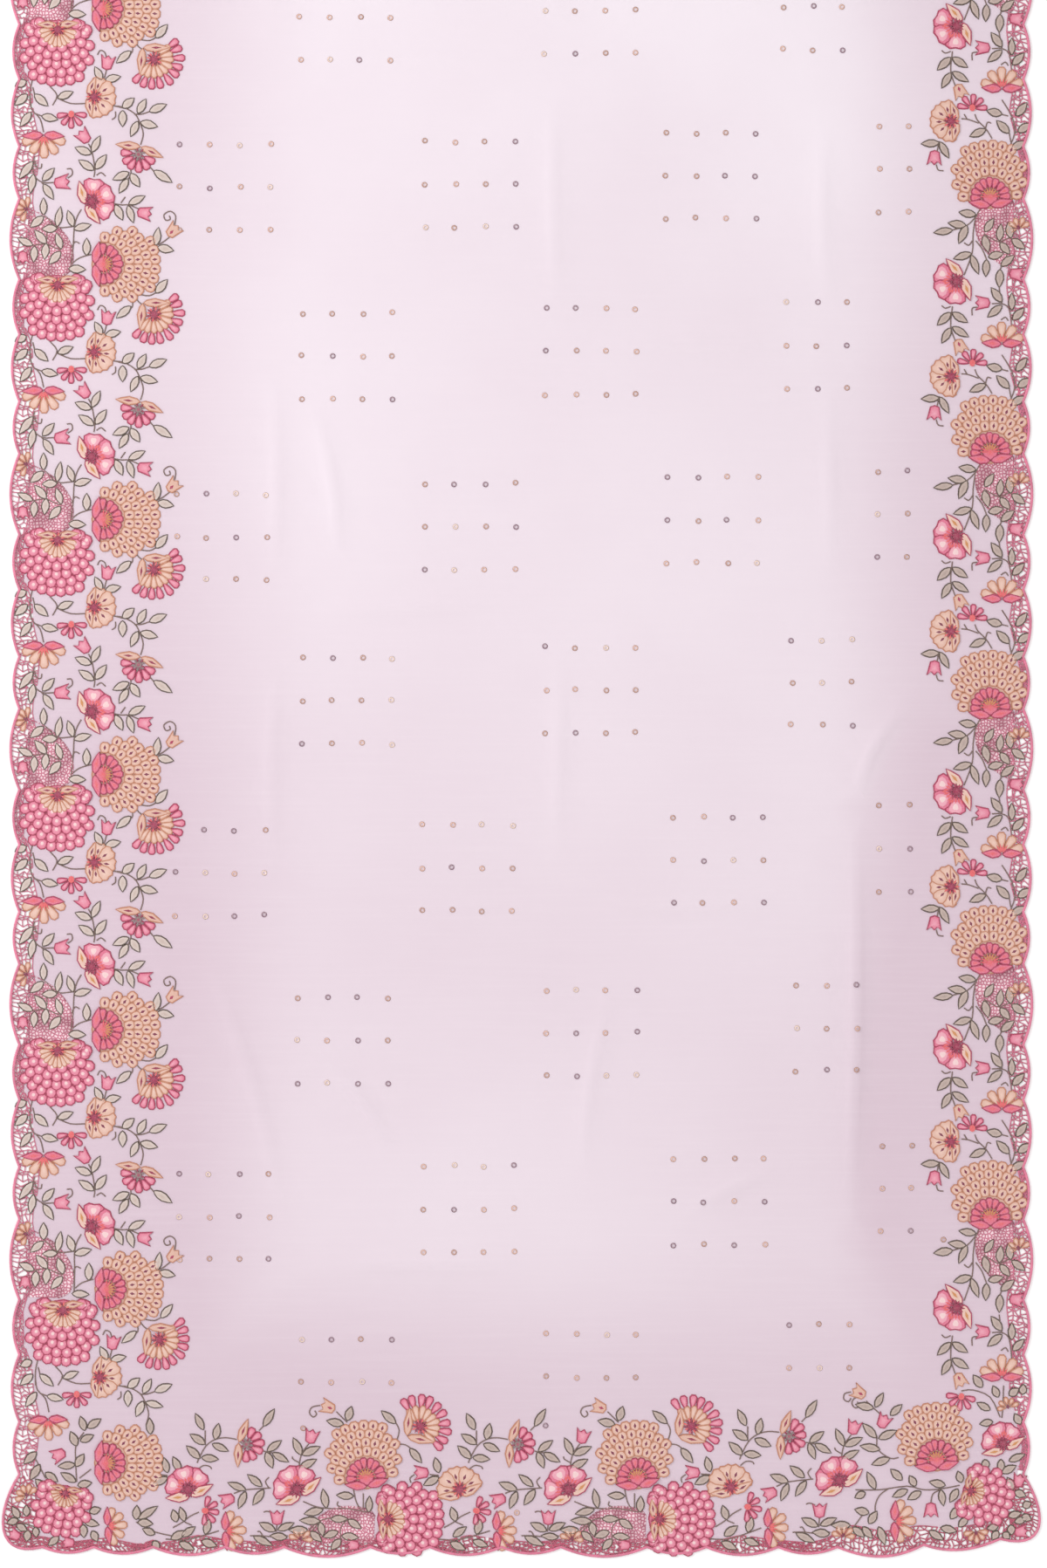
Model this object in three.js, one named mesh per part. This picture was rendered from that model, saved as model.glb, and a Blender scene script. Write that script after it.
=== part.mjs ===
// An organza saree laid out flat on a level surface, in millimetres, +Z up.
//
// The origin is the middle of the cloth on the surface that it lies on. X runs across the
// width, with the wide border at -X and the narrow border at +X. Y runs along the length,
// with the pallu (the end that hangs from the shoulder) at -Y and the plain hemmed end at +Y.
//
// The cloth is a thin wall with a flat underside. Both faces rise together where it is creased.
// Three sides end in scallops with a corded rim, and the net behind the rim is cut through.
import * as THREE from 'three';

// ---- Driving dimensions ------------------------------------------------------------------

const LENGTH = 5500;
const WIDTH = 1140;
const WALL = 1.2;
const SEAM_GAP = 0.3;

const WIDE_BORDER = 195;
const NARROW_BORDER = 125;
const PALLU_BORDER = 190;

const HEM_WIDTH = 6;
const HEM_HEIGHT = 2;

// Corded rim of the scallops.
const RIM_WIDTH = 3;
const RIM_HEIGHT = 2;

// A scallop rises by this share of its chord.
const SCALLOP_RISE = 0.11;
const SHORTEST_CHORD = 30;
const SCALLOP_STATIONS = [0, 0.17, 0.5, 0.83];

// One repeat of the embroidery: its scallops in order, and the net gaps cut behind each.
const SIDE_REPEAT = [
  { chord: 58, gaps: 1 },
  { chord: 75, gaps: 2 },
  { chord: 61, gaps: 2 },
  { chord: 90, gaps: 2 },
];
const PALLU_REPEAT = [
  { chord: 96, gaps: 2 },
  { chord: 66, gaps: 2 },
  { chord: 80, gaps: 2 },
  { chord: 66, gaps: 1 },
];
// Where a repeat begins: along Y on both sides, and along X on the pallu end.
const SIDE_START = -2657;
const PALLU_START = -264;

// A net gap is a trapezium that lies along the rim.
const GAP = { nearHalf: 5, farHalf: 3, near: 4.5, far: 10.5, endMargin: 14 };

// The rounded corner lobe between the last side scallop and the pallu scallops.
const CORNER = { endX: 533, reach: 588, shoulder: 43, drop: 14, stations: 8 };
// The pallu edge draws up towards the corner at +X, from this place on.
const DRAWN_UP = { fromX: 400, toX: 540, height: 9 };

// Press creases from storage: lines along the length and across the width.
const CREASE_COLUMNS = [-275, 41, 343];
const CREASE_ROWS = [
  -2431, -2018, -1697, -1396, -1083, -742, -431, -104, 236, 552, 885, 1230, 1549, 1893, 2214, 2520,
];
const CREASE = { rise: 2, halfWidth: 9, inset: 34, bow: 5 };

// The larger folds and soft wrinkles: both ends, sideways bow, rise and half width.
const FOLDS = [
  { name: 'tuck head', fromX: 431, fromY: -1800, toX: 373, toY: -1912, bow: -12, rise: 4, half: 8 },
  { name: 'tuck', fromX: 371, fromY: -1934, toX: 364, toY: -2385, bow: 5, rise: 5, half: 9 },
  { name: 'near wrinkle', fromX: -352, fromY: -2075, toX: -262, toY: -2385, bow: 10, rise: 3, half: 9 },
  { name: 'short wrinkle', fromX: -225, fromY: -2190, toX: -140, toY: -2300, bow: 6, rise: 3, half: 8 },
  { name: 'centre wrinkle', fromX: 98, fromY: -2120, toX: 68, toY: -2330, bow: -6, rise: 2.5, half: 8 },
  { name: 'pallu wrinkle', fromX: 180, fromY: -2372, toX: 292, toY: -2318, bow: 7, rise: 2.5, half: 8 },
  { name: 'upper wrinkle', fromX: -232, fromY: -1470, toX: -205, toY: -1640, bow: 8, rise: 2.5, half: 8 },
  { name: 'far wrinkle', fromX: 110, fromY: 40, toX: 190, toY: 190, bow: 9, rise: 3, half: 9 },
  { name: 'far tuck', fromX: -320, fromY: 930, toX: -340, toY: 1190, bow: -7, rise: 4, half: 9 },
  { name: 'hem wrinkle', fromX: 150, fromY: 2560, toX: 215, toY: 2700, bow: 6, rise: 3, half: 8 },
];
const FOLD_STATIONS = 3;

const COLOURS = { organza: 0xeadde6, border: 0xe3ccd8, hem: 0xe6d3de };

// Worked out from the sizes above.
const TALLEST_SCALLOP = SCALLOP_RISE * 90;
const SIDE_CUSP_X = WIDTH / 2 - TALLEST_SCALLOP;
const PALLU_CUSP_Y = -LENGTH / 2 + SCALLOP_RISE * 96;
const PALLU_SEAM_Y = -LENGTH / 2 + PALLU_BORDER;
const HEM_SEAM_Y = LENGTH / 2 - HEM_WIDTH;
const WIDE_SEAM_X = -WIDTH / 2 + WIDE_BORDER;
const NARROW_SEAM_X = WIDTH / 2 - NARROW_BORDER;

// ---- Scalloped edges ---------------------------------------------------------------------

// The scallops of one straight edge, from start to end, with a repeat beginning at anchor.
function scallopsBetween(start, end, anchor, repeat) {
  const pitch = repeat.reduce((sum, scallop) => sum + scallop.chord, 0);
  let place = anchor - pitch * Math.ceil((anchor - start) / pitch);
  const scallops = [];
  for (let i = 0; place < end; i += 1) {
    const { chord, gaps } = repeat[i % repeat.length];
    const from = Math.max(place, start);
    const to = Math.min(place + chord, end);
    if (to - from >= SHORTEST_CHORD) scallops.push({ from, to, gaps });
    place += chord;
  }
  scallops[0].from = start;
  scallops.at(-1).to = end;
  return scallops;
}

// How far the edge stands out beyond its cusps at one place along it.
function riseAt(scallops, along) {
  const { from, to } = scallops.find((scallop) => along <= scallop.to) ?? scallops.at(-1);
  const offset = (2 * along - from - to) / (to - from);
  return SCALLOP_RISE * (to - from) * Math.max(0, 1 - offset * offset);
}

// Places along the edge between two cuts: every scallop's stations, and the cuts themselves.
function placesAlong(scallops, first, last) {
  const stations = scallops.flatMap(({ from, to }) =>
    SCALLOP_STATIONS.map((share) => from + share * (to - from)));
  const inside = stations.filter((place) => place > first + RIM_WIDTH && place < last - RIM_WIDTH);
  return [first, ...inside, last];
}

// The gaps of one edge, each with its corners as (along, depth behind the edge).
function gapsAlong(scallops, first, last) {
  const centres = scallops.flatMap(({ from, to, gaps }) =>
    Array.from({ length: gaps }, (_, i) => from + ((i + 1) / (gaps + 1)) * (to - from)));
  return centres
    .filter((centre) => centre > first + GAP.endMargin && centre < last - GAP.endMargin)
    .map((centre) => [
      [centre - GAP.nearHalf, GAP.near],
      [centre + GAP.nearHalf, GAP.near],
      [centre + GAP.farHalf, GAP.far],
      [centre - GAP.farHalf, GAP.far],
    ]);
}

const sideScallops = scallopsBetween(SIDE_START, LENGTH / 2, SIDE_START, SIDE_REPEAT);
const palluScallops = scallopsBetween(-CORNER.endX, CORNER.endX, PALLU_START, PALLU_REPEAT);

// A point of the side edge (side is -1 or +1) and of the pallu edge, moved in by depth.
const sidePoint = (side, y, depth = 0) =>
  new THREE.Vector2(side * (SIDE_CUSP_X + riseAt(sideScallops, y) - depth), y);
function palluPoint(x, depth = 0) {
  const drawnUp = DRAWN_UP.height * THREE.MathUtils.smoothstep(x, DRAWN_UP.fromX, DRAWN_UP.toX);
  return new THREE.Vector2(x, PALLU_CUSP_Y + drawnUp - riseAt(palluScallops, x) + depth);
}

// The corner lobe from the side cusp to the pallu cusp, without its two ends.
function cornerLobe(side) {
  const sideCusp = sidePoint(side, SIDE_START);
  const palluCusp = palluPoint(side * CORNER.endX);
  const lobe = new THREE.CubicBezierCurve(
    sideCusp,
    new THREE.Vector2(side * CORNER.reach, sideCusp.y - CORNER.shoulder),
    new THREE.Vector2(side * CORNER.reach, palluCusp.y - CORNER.drop),
    palluCusp,
  );
  return lobe.getPoints(CORNER.stations).slice(1, -1);
}

// Each point of an open edge moved towards the cloth, which is on the left of its run.
// The two ends lie on a seam across the width, and move along that seam.
function movedIn(edge, distance) {
  return edge.map((point, i) => {
    if (i === 0 || i === edge.length - 1) {
      return new THREE.Vector2(point.x - Math.sign(point.x) * distance, point.y);
    }
    const run = edge[i + 1].clone().sub(edge[i - 1]).normalize();
    return new THREE.Vector2(point.x - run.y * distance, point.y + run.x * distance);
  });
}

// ---- Creases -----------------------------------------------------------------------------

// A crease is a long lens on the cloth: two foot lines and a raised spine between them.
function crease({ fromX, fromY, toX, toY, bow, rise, half }) {
  const start = new THREE.Vector2(fromX, fromY);
  const end = new THREE.Vector2(toX, toY);
  const run = end.clone().sub(start).normalize();
  const across = new THREE.Vector2(-run.y, run.x);
  const stations = Array.from({ length: FOLD_STATIONS }, (_, i) => {
    const share = (i + 1) / (FOLD_STATIONS + 1);
    const swell = Math.sin(Math.PI * share);
    const middle = start.clone().lerp(end, share).addScaledVector(across, bow * swell);
    return {
      spine: middle,
      lift: rise * swell,
      left: middle.clone().addScaledVector(across, half * Math.sqrt(swell)),
      right: middle.clone().addScaledVector(across, -half * Math.sqrt(swell)),
    };
  });
  return { start, end, stations };
}

// The outline of a crease, run clockwise, so that it serves as a hole in the flat cloth.
const creaseFoot = ({ start, end, stations }) => [
  start,
  ...stations.map((station) => station.left),
  end,
  ...stations.map((station) => station.right).reverse(),
];

// The press creases run from crossing to crossing and fade out before each one.
function pressCreases() {
  const columns = [WIDE_SEAM_X, ...CREASE_COLUMNS, NARROW_SEAM_X];
  const rows = [...CREASE_ROWS];
  const creases = [];
  rows.forEach((y, row) => {
    columns.slice(0, -1).forEach((x, column) => {
      const span = columns[column + 1] - x;
      if (span < 4 * CREASE.inset || (row + column) % 2 === 0) return;
      const bow = CREASE.bow * Math.sin(3 * row + column);
      creases.push({
        fromX: x + CREASE.inset,
        fromY: y,
        toX: x + span - CREASE.inset * (1 + 0.5 * (row % 2)),
        toY: y + bow,
        bow,
        rise: CREASE.rise,
        half: CREASE.halfWidth,
      });
    });
  });
  rows.slice(0, -1).forEach((y, row) => {
    CREASE_COLUMNS.forEach((x, column) => {
      if ((row + column) % 3 === 0) return;
      creases.push({
        fromX: x,
        fromY: y + CREASE.inset,
        toX: x + CREASE.bow * Math.cos(row),
        toY: rows[row + 1] - CREASE.inset * (1 + 0.7 * ((row + column) % 2)),
        bow: CREASE.bow * Math.sin(2 * row + column),
        rise: CREASE.rise,
        half: CREASE.halfWidth,
      });
    });
  });
  return creases;
}

// A press crease gives way to a larger fold that runs through its place.
function clearOfFolds(candidate) {
  const clearance = 2 * CREASE.halfWidth + CREASE.bow;
  const box = (c) => new THREE.Box2().setFromPoints([
    new THREE.Vector2(c.fromX, c.fromY),
    new THREE.Vector2(c.toX, c.toY),
  ]);
  return FOLDS.every((fold) => !box(fold).expandByScalar(clearance).intersectsBox(box(candidate)));
}

// ---- Closed meshes -----------------------------------------------------------------------

// A list of triangles that becomes one geometry.
class Skin {
  constructor() {
    this.places = [];
  }

  triangle(...corners) {
    corners.forEach(({ x, y, z }) => this.places.push(x, y, z));
  }

  quad(a, b, c, d) {
    this.triangle(a, b, c);
    this.triangle(a, c, d);
  }

  geometry() {
    const geometry = new THREE.BufferGeometry();
    geometry.setAttribute('position', new THREE.Float32BufferAttribute(this.places, 3));
    geometry.computeVertexNormals();
    return geometry;
  }
}

const at = (point, z) => new THREE.Vector3(point.x, point.y, z);

// A flat face at one height, facing up or down, with holes.
function addFlat(skin, outline, holes, z, up) {
  const corners = [outline, ...holes].flat();
  THREE.ShapeUtils.triangulateShape([...outline], holes.map((hole) => [...hole])).forEach((face) => {
    const [a, b, c] = face.map((index) => corners[index]);
    const turn = (b.x - a.x) * (c.y - a.y) - (b.y - a.y) * (c.x - a.x);
    const [second, third] = (turn > 0) === up ? [b, c] : [c, b];
    skin.triangle(at(a, z), at(second, z), at(third, z));
  });
}

// The upright edge below a loop whose points carry the height of the upper face.
function addEdge(skin, loop) {
  loop.forEach((point, i) => {
    const next = loop[(i + 1) % loop.length];
    skin.quad(at(point, 0), at(next, 0), at(next, next.z), at(point, point.z));
  });
}

// The raised face of a crease, over the cloth (up) or under it.
function addCrease(skin, { start, end, stations }, z, up) {
  const face = (a, b, c) => (up ? skin.triangle(a, b, c) : skin.triangle(a, c, b));
  const spine = stations.map((station) => at(station.spine, z + station.lift));
  const ends = [at(start, z), ...spine, at(end, z)];
  const left = [at(start, z), ...stations.map((station) => at(station.left, z)), at(end, z)];
  const right = [at(start, z), ...stations.map((station) => at(station.right, z)), at(end, z)];
  for (let i = 0; i < ends.length - 1; i += 1) {
    const first = i === 0;
    const last = i === ends.length - 2;
    if (!first) face(ends[i], left[i + 1], left[i]);
    if (!last) face(ends[i], ends[i + 1], left[i + 1]);
    if (!first) face(ends[i], right[i], right[i + 1]);
    if (!last) face(ends[i], right[i + 1], ends[i + 1]);
  }
}

// A stretch of cloth: an optional scalloped edge with a rim, the plain corners that close its
// outline, and the gaps and creases in it. The outline runs anticlockwise seen from above.
function clothStretch({ scallopedEdge = [], corners, gaps = [], creases = [] }) {
  const skin = new Skin();
  const rimInner = movedIn(scallopedEdge, RIM_WIDTH).map((point) => at(point, WALL));
  const rimOuter = scallopedEdge.map((point) => at(point, RIM_HEIGHT));
  const plain = corners.map((point) => at(point, WALL));
  const ends = rimInner.length > 0 ? [rimInner.at(-1), ...plain, rimInner[0]] : plain;
  const feet = creases.map(creaseFoot);
  const outline = [...rimOuter, ...ends];
  addFlat(skin, outline, [...gaps, ...feet], 0, false);
  addFlat(skin, [...rimInner, ...plain], [...gaps, ...feet], WALL, true);
  addEdge(skin, outline);
  for (let i = 0; i < rimOuter.length - 1; i += 1) {
    skin.quad(rimOuter[i], rimOuter[i + 1], rimInner[i + 1], rimInner[i]);
  }
  gaps.forEach((gap) => addEdge(skin, gap.map((point) => at(point, WALL))));
  creases.forEach((lens) => {
    addCrease(skin, lens, WALL, true);
    addCrease(skin, lens, 0, false);
  });
  return skin.geometry();
}

const clockwise = (loop) => (THREE.ShapeUtils.isClockWise(loop) ? loop : [...loop].reverse());

// ---- Pieces ------------------------------------------------------------------------------

// The plain field between the borders.
function organzaGround() {
  const left = WIDE_SEAM_X + SEAM_GAP;
  const right = NARROW_SEAM_X - SEAM_GAP;
  const bottom = PALLU_SEAM_Y + SEAM_GAP;
  const top = HEM_SEAM_Y - SEAM_GAP;
  const corners = [
    new THREE.Vector2(left, bottom),
    new THREE.Vector2(right, bottom),
    new THREE.Vector2(right, top),
    new THREE.Vector2(left, top),
  ];
  const creases = [...FOLDS, ...pressCreases().filter(clearOfFolds)].map(crease);
  return clothStretch({ corners, creases });
}

// A side border, from the pallu border to the hem: side is -1 at -X and +1 at +X.
function sideBorder(side, seamX) {
  const first = PALLU_SEAM_Y + SEAM_GAP;
  const last = HEM_SEAM_Y - SEAM_GAP;
  const places = placesAlong(sideScallops, first, last);
  const upward = side > 0 ? places : places.reverse();
  const corners = [new THREE.Vector2(seamX, first), new THREE.Vector2(seamX, last)];
  return clothStretch({
    scallopedEdge: upward.map((y) => sidePoint(side, y)),
    corners: side > 0 ? corners.reverse() : corners,
    gaps: gapsAlong(sideScallops, first, last).map((gap) =>
      clockwise(gap.map(([y, depth]) => sidePoint(side, y, depth)))),
  });
}

// The border across the pallu, with both rounded corners.
function palluBorder() {
  const sideRun = (side) =>
    placesAlong(sideScallops, SIDE_START, PALLU_SEAM_Y).map((y) => sidePoint(side, y));
  const endRun = placesAlong(palluScallops, -CORNER.endX, CORNER.endX).map((x) => palluPoint(x));
  const sideGaps = gapsAlong(sideScallops, SIDE_START, PALLU_SEAM_Y);
  const endGaps = gapsAlong(palluScallops, -CORNER.endX, CORNER.endX);
  return clothStretch({
    scallopedEdge: [
      ...sideRun(-1).reverse(),
      ...cornerLobe(-1),
      ...endRun,
      ...cornerLobe(1).reverse(),
      ...sideRun(1),
    ],
    corners: [],
    gaps: [
      ...[-1, 1].flatMap((side) => sideGaps.map((gap) =>
        clockwise(gap.map(([y, depth]) => sidePoint(side, y, depth))))),
      ...endGaps.map((gap) => clockwise(gap.map(([x, depth]) => palluPoint(x, depth)))),
    ],
  });
}

// The narrow rolled hem across the plain end.
function farHem() {
  const bevel = HEM_HEIGHT - WALL;
  const section = new THREE.Shape([
    new THREE.Vector2(0, 0),
    new THREE.Vector2(HEM_WIDTH, 0),
    new THREE.Vector2(HEM_WIDTH, WALL),
    new THREE.Vector2(HEM_WIDTH - bevel, HEM_HEIGHT),
    new THREE.Vector2(bevel, HEM_HEIGHT),
    new THREE.Vector2(0, WALL),
  ]);
  const geometry = new THREE.ExtrudeGeometry(section, { depth: 2 * SIDE_CUSP_X, bevelEnabled: false });
  // The section stands in Y and Z, and the hem runs along X.
  geometry.rotateX(Math.PI / 2);
  geometry.rotateZ(Math.PI / 2);
  geometry.translate(-SIDE_CUSP_X, HEM_SEAM_Y, 0);
  return geometry;
}

function piece(name, geometry, colour) {
  const material = new THREE.MeshStandardMaterial({ color: colour, roughness: 0.55, metalness: 0 });
  const mesh = new THREE.Mesh(geometry, material);
  mesh.name = name;
  return mesh;
}

const saree = new THREE.Group();
saree.add(
  piece('organza_ground', organzaGround(), COLOURS.organza),
  piece('wide_border', sideBorder(-1, WIDE_SEAM_X), COLOURS.border),
  piece('narrow_border', sideBorder(1, NARROW_SEAM_X), COLOURS.border),
  piece('pallu_border', palluBorder(), COLOURS.border),
  piece('far_hem', farHem(), COLOURS.hem),
);

export default saree;
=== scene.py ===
"""Looks of an embroidered organza saree that lies flat, right side up.

Sizes are in millimetres until a mesh is finished, and the finished meshes are in metres. X runs
across the width, from the wide border (-X) to the narrow one (+X), and Y along the length, from
the pallu end (-Y) to the plain hemmed end (+Y).
"""
import math
import random

import bpy
import numpy as np
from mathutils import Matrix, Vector
from mathutils.geometry import delaunay_2d_cdt


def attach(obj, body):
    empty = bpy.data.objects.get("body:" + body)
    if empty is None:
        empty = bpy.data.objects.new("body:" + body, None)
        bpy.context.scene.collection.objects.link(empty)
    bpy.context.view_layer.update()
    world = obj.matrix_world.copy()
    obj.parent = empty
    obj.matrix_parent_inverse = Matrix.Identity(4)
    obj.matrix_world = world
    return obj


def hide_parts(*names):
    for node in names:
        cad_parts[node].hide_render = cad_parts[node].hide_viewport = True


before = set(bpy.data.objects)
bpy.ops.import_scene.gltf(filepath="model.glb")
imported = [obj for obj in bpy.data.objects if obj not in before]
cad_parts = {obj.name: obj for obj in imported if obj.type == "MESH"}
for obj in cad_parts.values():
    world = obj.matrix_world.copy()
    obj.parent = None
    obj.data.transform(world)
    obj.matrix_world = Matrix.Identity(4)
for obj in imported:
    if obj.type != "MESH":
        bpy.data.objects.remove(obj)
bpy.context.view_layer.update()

MM = 0.001

# ---- Sizes of the cloth -------------------------------------------------------------------

LENGTH = 5500
WIDTH = 1140
WIDE_BORDER = 195
NARROW_BORDER = 125
PALLU_BORDER = 190
HEM_WIDTH = 6

# Scallops: chords of one repeat, and the share of its chord by which each one rises.
SCALLOP_RISE = 0.11
SHORTEST_CHORD = 30
SIDE_CHORDS = (58, 75, 61, 90)
PALLU_CHORDS = (96, 66, 80, 66)
SIDE_START = -2657
PALLU_START = -264
SIDE_CUSP_X = WIDTH / 2 - SCALLOP_RISE * max(SIDE_CHORDS)
PALLU_CUSP_Y = -LENGTH / 2 + SCALLOP_RISE * max(PALLU_CHORDS)
WIDE_EDGE = -WIDTH / 2
NARROW_EDGE = WIDTH / 2
PALLU_EDGE = -LENGTH / 2

# Corner lobes, and the stretch of the pallu edge that draws up beside the narrow border.
CORNER_END_X = 533
CORNER_REACH = 588
CORNER_SHOULDER = 43
CORNER_DROP = 14
DRAWN_UP = {"from_x": 400, "to_x": 540, "height": 9}

SHEER_THICKNESS = 0.35
RIM_RADIUS = 1.5
RIM_STEP = 7
# Least depth of the open net, and its depth from the scallop tips along one repeat.
NET_DEPTH = 9
WIDE_NET = ((0, 25), (28, 31), (62, 34), (92, 27), (120, 25), (146, 16), (186, 15), (214, 26), (250, 31))
NARROW_NET = ((4, 15), (34, 12), (66, 19), (96, 27), (128, 22), (160, 27), (190, 30), (226, 25), (262, 28))
PALLU_NET = ((0, 19), (26, 25), (62, 17), (104, 22), (138, 15), (176, 18), (206, 25), (240, 20), (276, 17))

# Towards the narrow border the pallu's net is deeper.
CORNER_NET = {"from_x": 325, "to_x": 375, "deeper": 12}

# Length of one repeat of the embroidery, on the sides and on the pallu.
SIDE_PITCH = sum(SIDE_CHORDS)
SIDE_REPEATS = 19
PALLU_PITCH = 302

# Press creases from storage, and the larger folds and soft wrinkles:
# both ends, sideways bow, rise and half width.
CREASE_COLUMNS = (-275, 41, 343)
CREASE_ROWS = (-2431, -2018, -1697, -1396, -1083, -742, -431, -104,
               236, 552, 885, 1230, 1549, 1893, 2214, 2520)
CREASE = {"rise": 2, "half": 9, "inset": 34, "bow": 5}
FOLDS = (
    ("tuck head", 431, -1800, 373, -1912, -12, 4, 8),
    ("tuck", 371, -1934, 364, -2385, 5, 5, 9),
    ("near wrinkle", -352, -2075, -262, -2385, 10, 3, 9),
    ("short wrinkle", -225, -2190, -140, -2300, 6, 3, 8),
    ("centre wrinkle", 98, -2120, 68, -2330, -6, 2.5, 8),
    ("pallu wrinkle", 180, -2372, 292, -2318, 7, 2.5, 8),
    ("upper wrinkle", -232, -1470, -205, -1640, 8, 2.5, 8),
    ("far wrinkle", 110, 40, 190, 190, 9, 3, 9),
    ("far tuck", -320, 930, -340, 1190, -7, 4, 9),
    ("hem wrinkle", 150, 2560, 215, 2700, 6, 3, 8),
)

# Seeds of the random draws, for each piece.
SEEDS = {"wide": 11, "narrow": 12, "pallu": 13, "left": 14, "right": 15, "wide_end": 16,
         "wide_net": 20, "narrow_net": 22, "pallu_net": 23, "sequins": 61, "sequin_finish": 7}

# ---- Threads and finishes, as they look in daylight ---------------------------------------


def daylight(red, green, blue, alpha=1.0):
    """A colour as it looks, from 0 to 255, turned into the renderer's linear one."""
    def linear(level):
        share = level / 255
        return share / 12.92 if share <= 0.04045 else ((share + 0.055) / 1.055) ** 2.4
    return (linear(red), linear(green), linear(blue), alpha)


THREADS = {name: daylight(*shade) for name, shade in {
    "rose": (162, 52, 84),
    "pink": (211, 110, 137),
    "blush": (224, 156, 172),
    "shell": (230, 196, 196),
    "coral": (216, 94, 98),
    "wine": (140, 42, 72),
    "seed": (120, 42, 68),
    "tan": (184, 124, 98),
    "cream": (210, 168, 152),
    "ivory": (224, 188, 174),
    "gold": (196, 132, 78),
    "mist": (204, 187, 180),
    "sage": (187, 166, 157),
    "moss": (165, 144, 137),
    "olive": (84, 68, 58),
    "stem": (122, 98, 90),
    "ash": (134, 110, 110),
}.items()}
NET_PINK = daylight(212, 114, 142)
NET_ROSE = daylight(197, 90, 117)
RIM_ROSE = daylight(220, 118, 148)
# The deep shade of a dyed thread, as a share of its dye.
DYE_DEPTH = 0.78
HEM_MAUVE = daylight(226, 205, 217)
CLOTH_PALE = daylight(250, 240, 247)
# The cloth's deeper colour, also used for its painted shade and shadow towards the borders and the pallu end.
CLOTH_MAUVE_AND_SHADE = daylight(221, 197, 210)
SLUB_PALE = daylight(250, 238, 244)
THREAD_SPECKLE = daylight(255, 246, 240)
# Pale painted glint of light on the sequins' foils.
PAINTED_FOIL_GLINT = daylight(236, 214, 206)
# Two shades each of the fine net's strands and holes, from deep to light.
PATCH_STRANDS = (daylight(156, 88, 106), daylight(196, 118, 138))
PATCH_HOLES = (daylight(194, 152, 160), daylight(236, 206, 212))
# Foils, each from its place on the scale of the sequins' random finish.
FOILS = (
    (0.0, daylight(196, 154, 138)), (0.3, daylight(152, 122, 136)),
    (0.58, daylight(222, 180, 162)), (0.82, daylight(238, 212, 196)),
)

# ---- Charts of the embroidery -------------------------------------------------------------
# Side charts run inward from the line of the scallop tips and up from the start of a repeat.
# Flowers: kind, place, heading in degrees from +X, size. Leaves: foot and tip.

WIDE_FLOWERS = (
    ("peach_dahlia", 128, 206, 0, 41), ("pearl_dahlia", 53, 160, -92, 40), ("fan", 160, 151, -46, 35),
    ("peach_blossom", 95, 108, -6, 24), ("tulip", 109, 146, 80, 14), ("half", 38, 66, -90, 17),
    ("spray", 69, 90, -90, 14), ("tulip", 83, 64, 130, 14), ("daisy", 144, 45, -106, 20),
    ("pink_blossom", 92, 276, 26, 26), ("tulip", 150, 263, -10, 14), ("tulip", 58, 13, 8, 15),
    ("bud", 20, 267, 165, 10), ("tulip", 15, 214, -90, 12), ("peach_tulip", 182, 243, 45, 14),
)
WIDE_LEAVES = (
    (103, 127, 95, 142), (107, 127, 124, 131), (135, 159, 119, 146), (163, 174, 176, 189),
    (54, 107, 71, 114), (19, 126, 6, 120), (20, 111, 6, 99), (28, 111, 43, 98), (126, 96, 139, 107),
    (24, 91, 12, 75), (36, 87, 54, 83), (92, 47, 101, 65), (91, 45, 73, 52), (96, 28, 108, 44),
    (94, 27, 77, 38), (133, 24, 115, 16), (132, 17, 122, 1), (135, 23, 145, 8), (161, 26, 181, 13),
    (126, 93, 126, 75), (143, 90, 152, 106), (156, 92, 175, 100), (143, 81, 135, 64),
    (146, 80, 165, 75), (118, 272, 126, 255), (133, 273, 151, 282), (132, 271, 138, 252),
    (37, 15, 50, 29), (38, 11, 49, -6), (26, 36, 11, 17), (27, 22, 23, 1), (38, 261, 38, 280),
    (38, 259, 23, 247), (53, 248, 57, 270), (53, 246, 36, 245), (71, 248, 65, 266),
    (72, 245, 91, 250), (41, 229, 28, 244), (26, 227, 9, 235), (58, 223, 52, 241),
    (28, 226, 27, 208), (41, 229, 39, 211), (57, 220, 44, 206), (86, 216, 86, 235),
    (66, 201, 85, 200), (163, 227, 166, 247), (165, 225, 183, 221),
)
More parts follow.
